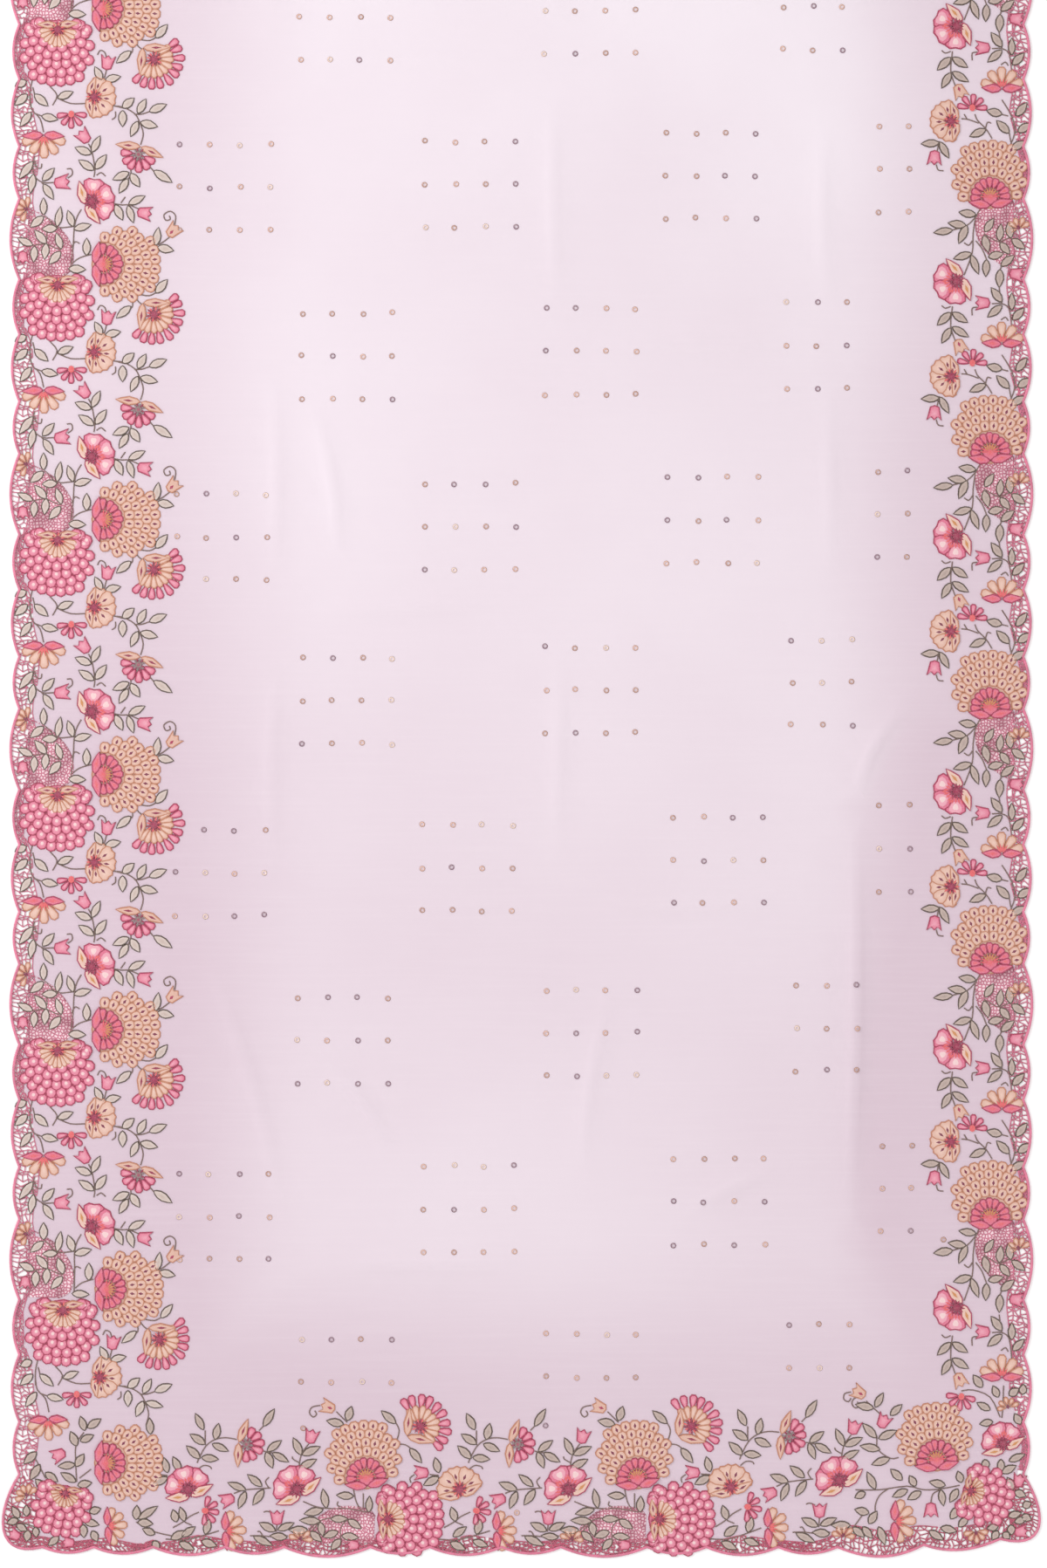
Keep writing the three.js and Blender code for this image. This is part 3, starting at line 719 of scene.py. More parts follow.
class Needlework:
    """Closed stitched shapes in one mesh, with a thread colour and a stitch place at each point."""

    def __init__(self, seed=0):
        self.points, self.faces, self.threads, self.stitches, self.stems = [], [], [], [], []
        self.chance = random.Random(seed)

    def face(self, corners, threads):
        self.faces.append(tuple(corners))
        self.threads += [THREADS[thread] for thread in threads]

    def add(self, rings, peak, cord, fill, heart):
        """Rings of (points, height, stitch places) from the foot inwards, then the peak.

        The cord's colour is between the rings, and the fill and the heart are inside them.
        """
        first = len(self.points)
        count = len(rings[0][0])
        for ring, height, stitch in rings:
            self.points += [(x, y, height) for x, y in ring]
            self.stitches += stitch
        for level in range(len(rings) - 1):
            low, high = first + level * count, first + (level + 1) * count
            for i in range(count):
                j = (i + 1) % count
                self.face((low + i, low + j, high + j, high + i), (cord,) * 4)
        top = first + (len(rings) - 1) * count
        tip = len(self.points)
        place, height, stitch = peak
        self.points.append((*place, height))
        self.stitches.append(stitch)
        for i in range(count):
            self.face((top + i, top + (i + 1) % count, tip), (fill, fill, heart))
        self.face((first + i for i in reversed(range(count))), (cord,) * count)

    def pad(self, place, shape, length, width, cord, fill, heart, layer=0, cord_width=CORD_WIDTH):
        """A filled shape with a raised cord round it. Its heart is the colour of its middle."""
        outline = np.array([(along * length, across * width / 2) for along, across in shape])
        middle = outline.mean(axis=0)
        top = pad_top(layer)
        levels = ((0.0, 0.0), (CORD_CREST * cord_width, top), (cord_width, top - FILL_SUNK))
        peak = (place.at(*middle), top + FILL_DOME, (*middle, 0.0))
        self.add(stitched_rings(outline, levels, place.at), peak, cord, fill, heart)

    def knot(self, place, length, width, thread, layer=0, proud=0.4, shape=SEED):
        """A small raised stitch, proud of the pads of its layer."""
        outline = [(along * length, across * width / 2) for along, across in shape]
        rings = stitched_rings(outline, ((0.0, pad_top(layer) + KNOT_FOOT),), place.at)
        peak = (place.at(0.5 * length, 0.0), pad_top(layer) + proud, (0.5 * length, 0.0, 0.0))
        self.add(rings, peak, thread, thread, thread)

    def dotted_centre(self, place, radius, layer=2, threads=("wine", "coral")):
        """A dark heart with short stitches all round it."""
        core = CENTRE["core"] * radius
        self.pad(place.moved(-core), DISC, 2 * core, 2 * core, threads[0], threads[0], "rose", layer)
        count = max(CENTRE["fewest"], round(CENTRE["count"] * radius))
        for i in range(count):
            turn = i + self.chance.uniform(-CENTRE["sway"], CENTRE["sway"])
            way = place.turned(360 * turn / count, CENTRE["foot"] * radius)
            long = radius * self.chance.uniform(*CENTRE["long"])
            self.knot(way, long, CENTRE["wide"], threads[i % 2], layer, CENTRE["proud"])

    def petals(self, place, angles, start, length, width, threads, shape=PETAL, layer=0, streak=None):
        """Petals round a place, each with its foot at the start distance."""
        for angle in angles:
            size = length * self.chance.uniform(*PETAL_VARIES)
            foot = place.turned(angle + self.chance.uniform(-PETAL_SWAY, PETAL_SWAY), start)
            self.pad(foot, shape, size, width, *threads, layer=layer)
            if streak:
                ahead, long, wide = PETAL_STREAK
                self.knot(foot.moved(ahead * size), long * size, wide * width, streak, layer)

    def bracts(self, foot, turns, length, width, threads, layer=0, streak=None):
        """Long pointed petals from one foot."""
        for turn in turns:
            way = foot.turned(turn)
            size = length * self.chance.uniform(*BRACT_VARIES)
            self.pad(way, BRACT, size, width, *threads, layer=layer)
            if streak:
                ahead, long, wide = BRACT_STREAK
                self.knot(way.moved(ahead * length), long * length, wide * width, streak, layer)

    def rows_round(self, heart, ahead, radius, first, pitch, spacing, draw):
        """Rows of small petals round the heart, inside a round outline with its middle ahead."""
        count = int((ahead + radius - first) / pitch) + 1
        outer = radius + 0.5 * spacing
        for row in range(count):
            reach = ahead + radius - pitch * (count - 1 - row)
            cosine = (reach * reach + ahead * ahead - outer * outer) / (2 * reach * ahead)
            half = math.acos(min(max(cosine, -1.0), 1.0))
            along = max(1, round(2 * half * reach / spacing))
            for i in range(along):
                angle = -half + 2 * half * (i + 0.5) / along
                draw(heart.turned(math.degrees(angle), reach), count - 1 - row)


def spread(half, count):
    """Even angles from one side of straight ahead to the other."""
    return [-half + 2 * half * i / (count - 1) for i in range(count)]


# Threads of a petal's cord, fill and heart.
DEEP = ("rose", "pink", "blush")
PEACHY = ("tan", "cream", "ivory")
FLUSHED = ("rose", "pink", "coral")
BLUSHED = ("tan", "cream", "cream")
PEARLY = ("tan", "ivory", "cream")

# The flowers' own numbers are millimetres at these sizes, and share brings them to the size asked for.
DAHLIA_SIZE = 41
FAN_SIZE = 36
DAISY_SIZE = 20
HALF_SIZE = 17
PINK_BLOSSOM_SIZE = 27
PEACH_BLOSSOM_SIZE = 25


def peach_dahlia(work, place, size):
    """A round head of small cream petals, each with a dark seed, over a pink crown."""
    share = size / DAHLIA_SIZE
    heart = place.moved(-0.58 * size)
    work.pad(place.moved(4 - size), HEAD, 2 * size - 9, 2 * size - 8, "tan", "cream", "cream", -2)

    def seeded(spot, layer):
        foot = spot.moved(-8.4)
        work.pad(foot, SCALE, 13.4, 12.2, *PEACHY, layer=layer, cord_width=1.6)
        work.knot(foot.moved(3.4), 6.2, 3.2, "seed", layer)

    work.rows_round(heart, 0.58 * size, size - 4.8, 24 * share, 9.4, 10.6, seeded)
    work.pad(heart.moved(-9 * share), DISC, 19 * share, 19 * share, "rose", "pink", "coral", 4)
    work.petals(heart, spread(88, 9), 9.5 * share, 13.5 * share, 8.8 * share, FLUSHED, FINGER, layer=5)
    for angle in spread(84, 9):
        thread = "gold" if abs(angle) < 60 else "coral"
        work.knot(heart.turned(angle, 2.5 * share), 9.5 * share, 1.9, thread, 5)
    work.bracts(heart.moved(-9.5 * share), (78, -78), 26 * share, 11.6 * share, FLUSHED, layer=6)


# Scales that square the shoulders of a pearl dahlia: ahead of its heart, and to each side.
SHOULDERS = ((0.5, 33), (-4.5, 25.5))


def pearl_dahlia(work, place, size):
    """A round head of overlapping pink scales with pearly middles, under a cream collar."""
    share = size / DAHLIA_SIZE
    heart = place.moved(-0.6 * size)
    work.pad(place.moved(5 - size), HEAD, 2 * size - 10, 2 * size - 10, "rose", "pink", "rose", -2)

    def scale(spot, layer):
        work.pad(spot.moved(-7.2), DISC, 14.4, 13.6, "rose", "pink", "blush", layer, 1.65)
        work.knot(spot.moved(-2.4), 3.8, 3.6, "shell", layer, 0.2, DISC)

    for ahead, across in SHOULDERS:
        for side in (1, -1):
            scale(heart.moved(ahead * share, side * across * share), 3)
    work.rows_round(heart, 0.6 * size, size - 6.2, 17 * share, 9.2, 11.0, scale)
    work.petals(heart, spread(78, 10), 6.5 * share, 15.5 * share, 7.2 * share, PEARLY, FINGER, 5)
    work.dotted_centre(heart.moved(1), 9.5 * share, 5)
    work.bracts(heart.moved(-4 * share), (98, -90), 25 * share, 10 * share, BLUSHED, 6, "wine")


def fan(work, place, size):
    """Two rings of petals on one side of a dotted centre, between long pale bracts."""
    share = size / FAN_SIZE
    work.petals(place, spread(84, 10), 20 * share, 16.5 * share, 9.4 * share, DEEP, FINGER)
    work.petals(place, spread(82, 9), 6 * share, 18 * share, 8.4 * share, PEACHY, FINGER, layer=1)
    work.bracts(place.moved(-17 * share), (46, -50), 32 * share, 11.4 * share, BLUSHED, 2, "wine")
    work.dotted_centre(place.moved(1.5), 9.5 * share, 2)


def daisy(work, place, size):
    """A half flower of pink petals with an ashen centre and two long pale bracts."""
    share = size / DAISY_SIZE
    work.petals(place, spread(76, 6), 6.5 * share, 14.5 * share, 9.4 * share, DEEP, FINGER)
    work.bracts(place.moved(-8 * share), (80, -80), 29 * share, 10.8 * share, BLUSHED, 1, "wine")
    work.dotted_centre(place.moved(1), 7.8 * share, 1, threads=("ash", "wine"))


def half(work, place, size):
    """Pale petals under two level pink bracts."""
    share = size / HALF_SIZE
    work.petals(place, spread(70, 5), 5 * share, 20.5 * share, 11 * share, PEACHY, FINGER)
    for angle in spread(52, 6):
        thread = "coral" if abs(angle) < 40 else "rose"
        work.knot(place.turned(angle, 1.5), 11 * share, 2.6, thread, 1)
    work.bracts(place, (86, -86), 24 * share, 11.2 * share, FLUSHED, 2)


def spray(work, place, size):
    """A few narrow pink petals."""
    work.petals(place, spread(80, 5), 3.4, size, 0.54 * size, DEEP, FINGER)
    work.knot(place.moved(-3), 8, 7, "coral", 1, 0.4, DISC)


def pink_blossom(work, place, size):
    """Broad pink petals with pearly middles round a dotted centre, with pointed ones behind."""
    share = size / PINK_BLOSSOM_SIZE
    for angle, layer in ((58, 0), (-58, 0), (0, 1)):
        foot = place.turned(angle, 4.5 * share)
        work.pad(foot, LOBE, 22.5 * share, 24.5 * share, "rose", "pink", "pink", layer=layer)
        work.knot(foot.moved(7 * share), 13.4 * share, 15 * share, "blush", layer, 0.22, LOBE)
        work.knot(foot.moved(8.6 * share), 9.6 * share, 9.2 * share, "shell", layer, 0.36, LOBE)
        for across in (-6, -3, 0, 3, 6):
            work.knot(foot.moved(2, across * share, 2.5 * across), 8.5 * share, 2.2, "coral", layer, 0.4)
    pale = ("rose", "ivory", "cream")
    work.bracts(place.moved(-9 * share), (78, -78), 30 * share, 13.4 * share, pale, 2, "gold")
    work.dotted_centre(place.moved(-0.5), 9.6 * share, 2, threads=("wine", "rose"))


def peach_blossom(work, place, size):
    """Broad cream petals, each with a dark streak, round a dotted centre."""
    share = size / PEACH_BLOSSOM_SIZE
    for layer, angles in enumerate(((80, 0, -80), (40, -40))):
        work.petals(place, angles, 4.5 * share, 20.5 * share, 17.5 * share, PEACHY, LOBE, layer, "seed")
    work.bracts(place.moved(-8 * share), (74, -74), 26 * share, 11 * share, PEACHY, 2, "seed")
    work.dotted_centre(place.moved(-0.5), 9.4 * share, 2)


def tulip(work, place, size, threads=("rose", "pink", "blush")):
    """A small flower in profile, with three points."""
    work.pad(place.moved(-0.6 * size), TULIP, 1.24 * size, 1.24 * size, *threads)


def peach_tulip(work, place, size):
    """A tulip in cream, with a rose streak."""
    tulip(work, place, size, BLUSHED)
    work.knot(place.moved(-0.36 * size), 0.46 * size, 0.24 * size, "rose")


def bud(work, place, size):
    """A small pale flower half open."""
    work.petals(place, spread(78, 5), 1.5, 1.25 * size, 0.72 * size, PEACHY)
    work.knot(place.moved(-1), 0.6 * size, 0.4 * size, "seed", 1)


FLOWERS = {draw.__name__: draw for draw in (
    peach_dahlia, pearl_dahlia, fan, daisy, half, spray, pink_blossom, peach_blossom, tulip, peach_tulip,
    bud)}


# Leaves, against their charted length: how much longer they are, and how far their foot is set back.
LEAF_GROWTH = 1.08
LEAF_SETBACK = 0.04
LEAF_WIDTH = 9.9
LEAF_VARIES = (0.92, 1.06)
STEM_RADIUS = 0.7
STEM_SIDES = 4
STEM_SMOOTHING = 3
STEM_HEIGHT = 0.4
# Leaves are paler and more finely outlined on the wide border than on the others.
LEAF_LOOK = ("sage", "moss", 1.6)
PALE_LEAF_LOOK = ("mist", "sage", 1.5)


def stitch_chart(work, flowers, leaves, stems, origin, keep=lambda x, y: True, lay=lambda x, y: (x, y),
                 leaf_look=LEAF_LOOK):
    """One chart at its origin: keep chooses what is drawn, and lay moves a place of the chart."""
    def on_cloth(x, y):
        moved = lay(x, y)
        return origin[0] + moved[0], origin[1] + moved[1]

    fill, heart, cord_width = leaf_look
    for kind, x, y, heading, size in flowers:
        if keep(x, y):
            FLOWERS[kind](work, Place(*on_cloth(x, y), heading), size)
    for x, y, tip_x, tip_y in leaves:
        if keep(x, y):
            heading = math.degrees(math.atan2(tip_y - y, tip_x - x))
            long = LEAF_GROWTH * math.hypot(tip_x - x, tip_y - y)
            wide = LEAF_WIDTH * work.chance.uniform(*LEAF_VARIES)
            foot = Place(*on_cloth(x, y), heading).moved(-LEAF_SETBACK * long)
            work.pad(foot, LEAF, long, wide, "olive", fill, heart, cord_width=cord_width)
    for path in stems:
        if keep(*path[len(path) // 2]):
            work.stems.append([(*on_cloth(x, y), STEM_HEIGHT) for x, y in path])


def needlework_mesh(name, work):
    """The stitched shapes with each face corner's thread and each point's stitch place."""
    mesh = bpy.data.meshes.new(name)
    mesh.from_pydata(work.points, [], work.faces)
    thread = mesh.attributes.new("thread", "FLOAT_COLOR", "CORNER")
    thread.data.foreach_set("color", np.array(work.threads, float).ravel())
    stitch = mesh.attributes.new("stitch", "FLOAT_VECTOR", "POINT")
    stitch.data.foreach_set("vector", np.array(work.stitches, float).ravel())
    return mesh


REPEAT_INPUTS = (("Count", "NodeSocketInt"), ("Start", "NodeSocketVector"), ("Pitch", "NodeSocketVector"))


def stitched_cords(tree, runs, radius, sides):
    """Round cords along curves, each with its length along as its stitch places."""
    parameter = add_node(tree, "GeometryNodeSplineParameter")
    along = add_node(tree, "ShaderNodeCombineXYZ", {"X": parameter.outputs["Length"]})
    marked = add_node(tree, "GeometryNodeStoreNamedAttribute",
                      {"Geometry": runs, "Name": "stitch", "Value": along.outputs[0]},
                      data_type="FLOAT_VECTOR", domain="POINT")
    ring = add_node(tree, "GeometryNodeCurvePrimitiveCircle", {"Resolution": sides, "Radius": radius})
    cords = add_node(tree, "GeometryNodeCurveToMesh",
                     {"Curve": marked.outputs[0], "Profile Curve": ring.outputs[0], "Fill Caps": True})
    return cords.outputs[0]


def close_with_repeats(tree, given, geometry, material):
    """Ends a tree in copies of the geometry, from its REPEAT_INPUTS."""
    line = add_node(tree, "GeometryNodeMeshLine",
                    {"Count": given["Count"], "Start Location": given["Start"], "Offset": given["Pitch"]})
    one = add_node(tree, "GeometryNodeGeometryToInstance", {"Geometry": geometry})
    copies = add_node(tree, "GeometryNodeInstanceOnPoints",
                      {"Points": line.outputs[0], "Instance": one.outputs[0]})
    close_tree(tree, copies.outputs[0], material)


def repeats(count, start, sideways=False):
    """Values of the REPEAT_INPUTS: a repeat follows the last one up the cloth, or sideways."""
    pitch = (float(PALLU_PITCH), 0.0, 0.0) if sideways else (0.0, float(SIDE_PITCH), 0.0)
    return {"Count": count, "Start": (0.0, float(start), 0.0), "Pitch": pitch}


def repeat_tree(material):
    """A stitched chart with its stems, repeated."""
    tree, given = new_tree("embroidery repeat", (
        ("Stems", "NodeSocketObject"), ("Stem Radius", "NodeSocketFloat"),
        ("Stem Colour", "NodeSocketColor"), *REPEAT_INPUTS))
    stems = add_node(tree, "GeometryNodeObjectInfo", {"Object": given["Stems"]})
    runs = add_node(tree, "GeometryNodeMeshToCurve", {"Mesh": stems.outputs["Geometry"]})
    curved = add_node(tree, "GeometryNodeCurveSplineType", {"Curve": runs.outputs[0]},
                      spline_type="CATMULL_ROM")
    fine = add_node(tree, "GeometryNodeSetSplineResolution",
                    {"Geometry": curved.outputs[0], "Resolution": STEM_SMOOTHING})
    cords = stitched_cords(tree, fine.outputs[0], given["Stem Radius"], STEM_SIDES)
    dyed = add_node(tree, "GeometryNodeStoreNamedAttribute",
                    {"Geometry": cords, "Name": "thread", "Value": given["Stem Colour"]},
                    data_type="FLOAT_COLOR", domain="POINT")
    joined = add_node(tree, "GeometryNodeJoinGeometry")
    tree.links.new(dyed.outputs[0], joined.inputs[0])
    tree.links.new(given["Geometry"], joined.inputs[0])
    close_with_repeats(tree, given, joined.outputs[0], material)
    return tree


def embroidery(name, work, tree, count=1, start=0.0, sideways=False):
    """The finished piece of embroidery from one chart, repeated up the cloth or sideways."""
    stems = new_object(name + "_stems", path_mesh(name + "_stems", work.stems))
    piece = new_object(name, needlework_mesh(name, work))
    made_plain(piece, tree, {"Stems": stems, "Stem Radius": STEM_RADIUS, "Stem Colour": THREADS["stem"],
                             **repeats(count, start, sideways)})
    bpy.data.objects.remove(stems)
    return laid_on_cloth(piece, SHEER_THICKNESS)


# ---- Net, rim, hem and sequins ------------------------------------------------------------

NET_FROM = 2.4
EDGE_STEP = 5
# Radius of the strands on the wide side, and on the other two edges.
WIDE_CORD = 0.68
OTHER_CORD = 0.8
NET_SIDES = 3
RIM_SIDES = 8
RIM_FLATTEN = 0.8
# Cells of the open net: their width, and the shares of the depth at which their rows lie.
SIDE_MESH = {"step": 5.3, "shares": (0, 0.28, 0.53, 0.77, 1.0), "ties": 0.3}
PALLU_MESH = {"step": 5.2, "shares": (0, 0.19, 0.38, 0.58, 0.79, 1.0), "ties": 0.25}
NET_LAY = {"floor_z": 0.55, "flatten": 0.75}
# How far a crossing strays, in cells along the edge and in shares of the depth.
NET_STRAYS = {"along": 0.32, "deep": 0.1}
NET_CHANCE_IN_ROW = 0.84
# The fine net's pad: how far in each ring is and its height. Then its middle, and its outer cord.
PATCH_LEVELS = ((0.0, 0.0), (0.5, 0.5), (1.2, 0.42))
PATCH_MIDDLE = 0.45
PATCH_CORD = 0.3


def edge_net(edge, chance, cells, start=SIDE_START, wrap=None):
    """Rows of uneven cells from the rim to the sheer cloth. With wrap, the last step is the first."""
    lines = np.array(moved_in(edge, NET_FROM)), np.array(inner_line(edge, start))
    lengths = np.concatenate(([0], np.cumsum(np.linalg.norm(np.diff(np.array(edge), axis=0), axis=1))))
    count = round(lengths[-1] / cells["step"])
    step = lengths[-1] / count

    def spot(distance, share):
        rim, cloth = ([np.interp(distance, lengths, line[:, i]) for i in (0, 1)] for line in lines)
        return tuple(a + share * (b - a) for a, b in zip(rim, cloth))

    strands, above = [], None
    stray, stray_deep = NET_STRAYS["along"], NET_STRAYS["deep"]
    for row, share in enumerate(cells["shares"]):
        slip = row % 2
        line = []
        for i in range(count):
            deep = share + (chance.uniform(-stray_deep, stray_deep) if 0 < share < 1 else 0)
            place = i + 0.25 + 0.5 * slip + chance.uniform(-stray, stray)
            line.append(spot(place * step, deep))
        if wrap:
            line.append((line[0][0] + wrap[0], line[0][1] + wrap[1]))
        for i in range(len(line) - 1):
            if row and chance.random() < NET_CHANCE_IN_ROW:
                strands.append((line[i], line[i + 1]))
            if row:
                strands.append((line[i], above[i]))
                if chance.random() < cells["ties"]:
                    strands.append((line[i], above[i + 1]) if slip else (line[i + 1], above[i]))
        above = line
    return strands


def inside(polygon, x, y):
    """Which places of two arrays lie in a polygon."""
    result = np.zeros(np.shape(x), bool)
    for (ax, ay), (bx, by) in zip(polygon, (*polygon[1:], polygon[0])):
        crosses = (ay > y) != (by > y)
        with np.errstate(divide="ignore", invalid="ignore"):
            edge_x = (bx - ax) * (y - ay) / (by - ay) + ax
        result ^= crosses & (x < edge_x)
    return result


def patch_work(polygon):
    """A low pad of fine net with a corded edge."""
    work = Needlework()
    outline = np.array(polygon, float)
    middle = tuple(outline.mean(axis=0))
    rings = stitched_rings(outline, PATCH_LEVELS, lambda x, y: (x, y))
    work.add(rings, (middle, PATCH_MIDDLE, (*middle, 0.0)), "rose", "pink", "pink")
    work.stems.append([(x, y, PATCH_CORD) for x, y in (*polygon[1:], polygon[0])])
    return work


def net_tree(material):
    """Thin cords along bare edges, repeated."""
    tree, given = new_tree("knotted net", (
        ("Cord Radius", "NodeSocketFloat"), ("Sides", "NodeSocketInt"), *REPEAT_INPUTS))
    runs = add_node(tree, "GeometryNodeMeshToCurve", {"Mesh": given["Geometry"]})
    cords = stitched_cords(tree, runs.outputs[0], given["Cord Radius"], given["Sides"])
    close_with_repeats(tree, given, cords, material)
    return tree


def corded(name, paths, tree, radius, sides, count=1, start=0.0, **lay):
    """A finished piece of cords along paths."""
    piece = new_object(name, path_mesh(name, paths))
    made_plain(piece, tree, {"Cord Radius": radius, "Sides": sides, **repeats(count, start)})
    return laid_on_cloth(piece, **lay)


SEQUIN_RADIUS = 3.2
SEQUIN_LAY = {"floor_z": SHEER_THICKNESS + 0.45, "flatten": 0.5}
# The ring's own middle line and the radius of its band, as shares of the sequin's radius.
SEQUIN_MIDDLE = 0.7
SEQUIN_BAND = 0.3
SEQUIN_SIDES = 10
SEQUIN_BAND_SIDES = 3
# How far a group strays from its place, across and along, and each sequin from its own.
GROUP_STRAYS = (2, 3)
SEQUIN_STRAY = 1.2


def sequin_places():
    """Where every sequin is sewn."""
    chance = random.Random(SEEDS["sequins"])

    def stray(most):
        return chance.uniform(-most, most)

    places = list(SEQUIN_STRAYS)
    last_row = int((LENGTH / 2 - SEQUIN_CLEAR_OF_HEM - SEQUIN_FIRST_Y) / SEQUIN_ROW_PITCH)
    for row in range(last_row + 1):
        for group, (x, across) in enumerate(SEQUIN_COLUMNS[row % 2]):
            strayed = (stray(GROUP_STRAYS[0]), stray(GROUP_STRAYS[1]))
            dx, dy = SEQUIN_NUDGES.get((row, group), strayed)
            y = SEQUIN_FIRST_Y + SEQUIN_ROW_PITCH * row + SEQUIN_RISE + SEQUIN_CLIMB * x + dy
            for i in range(across):
                for j in range(SEQUIN_ROWS if row else SEQUIN_FIRST_ROWS):
                    places.append((x + dx + i * SEQUIN_STEP[0] + stray(SEQUIN_STRAY),
                                   y - j * SEQUIN_STEP[1] + stray(SEQUIN_STRAY)))
    return places


def sequin_tree(material):
    """A small ring on every point, each with its own finish."""
    tree, given = new_tree("sewn sequins", (("Radius", "NodeSocketFloat"), ("Seed", "NodeSocketInt")))

    def circle(share, sides):
        radius = add_node(tree, "ShaderNodeMath", {0: given["Radius"], 1: share}, operation="MULTIPLY")
        return add_node(tree, "GeometryNodeCurvePrimitiveCircle",
                        {"Resolution": sides, "Radius": radius.outputs[0]}).outputs[0]

    ring = add_node(tree, "GeometryNodeCurveToMesh",
                    {"Curve": circle(SEQUIN_MIDDLE, SEQUIN_SIDES),
                     "Profile Curve": circle(SEQUIN_BAND, SEQUIN_BAND_SIDES)})
    copies = add_node(tree, "GeometryNodeInstanceOnPoints",
                      {"Points": given["Geometry"], "Instance": ring.outputs[0]})
    finish = add_node(tree, "FunctionNodeRandomValue", {2: 0.0, 3: 1.0, "Seed": given["Seed"]})
    marked = add_node(tree, "GeometryNodeStoreNamedAttribute",
                      {"Geometry": copies.outputs[0], "Name": "finish", "Value": finish.outputs[1]},
                      data_type="FLOAT", domain="INSTANCE")
    close_tree(tree, marked.outputs[0], material)
    return tree


# ---- Organza ------------------------------------------------------------------------------

GRID_STEP = 22
# Points this close to the last one of the outline are left out, and others keep clear of the outline.
OUTLINE_NEAREST = 0.5
GRID_CLEARANCE = 5
CREASE_STEP = 16
SHARP_ANGLE = 60
# How deep the cloth's colour is: palest, and what its lower part, the borders and the tuck add, up to the
# most. What the lower part adds is painted shade, darker towards the pallu end, and what the borders add is
# the painted shadow of their embroidery.
TINT_AND_PAINTED_SHADE = {"base": 0.08, "lower": 0.36, "borders": 0.5, "pallu": 0.85, "tuck": 0.12, "most": 0.86}
# Where the painted shade fades: past the borders' inner edges, and along the length.
PAINTED_SHADE_FADES = {"wide": (-60, 170), "narrow": (-130, 40), "pallu": (-30, 190), "lower": (-2300, -1000)}
# The edge of the tuck's shade: its place, its slant, and the ends that it fades between.
TUCK_SHADE = {"x": 365, "slant": 0.52, "from_y": -1934, "slanted": 140, "soft": (-4, 14),
              "near_end": (-2480, -2390), "far_end": (-1860, -1780)}


def tint_and_painted_shade_at(x, y):
    """How deep the cloth's colour is: palest in the middle, with painted shadow deeper at the borders and the
    pallu, painted shade deeper towards the pallu end, and deeper past the tuck.
    """
    wide = 1 - smooth(x - WIDE_EDGE - WIDE_BORDER, *PAINTED_SHADE_FADES["wide"])
    narrow = smooth(x - NARROW_EDGE + NARROW_BORDER, *PAINTED_SHADE_FADES["narrow"])
    pallu = 1 - smooth(y - PALLU_EDGE - PALLU_BORDER, *PAINTED_SHADE_FADES["pallu"])
    # Painted shade: darker towards the pallu end, where the light falls off.
    lower = 1 - smooth(y, *PAINTED_SHADE_FADES["lower"])
    slanted = TUCK_SHADE["slant"] * np.clip(y - TUCK_SHADE["from_y"], 0, TUCK_SHADE["slanted"])
    past_tuck = smooth(x - TUCK_SHADE["x"] - slanted, *TUCK_SHADE["soft"])
    tuck = past_tuck * smooth(y, *TUCK_SHADE["near_end"]) * (1 - smooth(y, *TUCK_SHADE["far_end"]))
    drift = 0.06 * np.sin(x / 170 + 1.3) * np.sin(y / 310) + 0.05 * np.sin(y / 120 + x / 260)
    # Painted shadow of the embroidery, over the borders and the pallu.
    deep = np.maximum(np.maximum(wide, narrow), TINT_AND_PAINTED_SHADE["pallu"] * pallu)
    mauve_and_shade = TINT_AND_PAINTED_SHADE["base"] + TINT_AND_PAINTED_SHADE["lower"] * lower + TINT_AND_PAINTED_SHADE["borders"] * deep + TINT_AND_PAINTED_SHADE["tuck"] * tuck + drift
    return np.clip(mauve_and_shade, 0, TINT_AND_PAINTED_SHADE["most"])


def crease_spots():
    """Points across every crease, so that the cloth bends there."""
    spots = []
    for crease in CREASES:
        start, run, across, length = crease_frame(crease)
        bow, _rise, wide = crease[4:7]
        reach = wide * SOFTNESS
        count = max(6, round(length / CREASE_STEP))
        for i in range(1, count):
            share = i / count
            middle = start + run * length * share + across * bow * math.sin(math.pi * share)
            spots += [middle + across * reach * offset for offset in (-1, -0.5, 0, 0.5, 1)]
    return spots


def flat_cloth():
    """The cut cloth as a flat net of triangles: its points and its faces."""
    hem_y = LENGTH / 2 - HEM_WIDTH / 2
    edge = inner_line(RIM)
    outline = [(edge[0][0], hem_y)]
    for point in (*edge[1:-1], (edge[-1][0], hem_y)):
        if math.dist(point, outline[-1]) > OUTLINE_NEAREST:
            outline.append(point)
    xs = np.arange(WIDE_EDGE + GRID_STEP, NARROW_EDGE, GRID_STEP)
    ys = np.arange(PALLU_EDGE + GRID_STEP, LENGTH / 2, GRID_STEP)
    grid = np.stack(np.meshgrid(xs, ys), axis=-1)
    grid[1::2, :, 0] += GRID_STEP / 2
    grid = grid.reshape(-1, 2)
    creased = lift(grid[:, 0], grid[:, 1]) > 0
    fill = np.vstack((grid[~creased], np.array(crease_spots())))
    middle = inside([tuple(p) for p in moved_in(outline, GRID_CLEARANCE)], fill[:, 0], fill[:, 1])
    points = [Vector(p) for p in outline] + [Vector(p) for p in fill[middle]]
    flat, _edges, faces, *_ = delaunay_2d_cdt(points, [], [list(range(len(outline)))], 1, 1e-4)
    return np.array([tuple(p) for p in flat]), faces


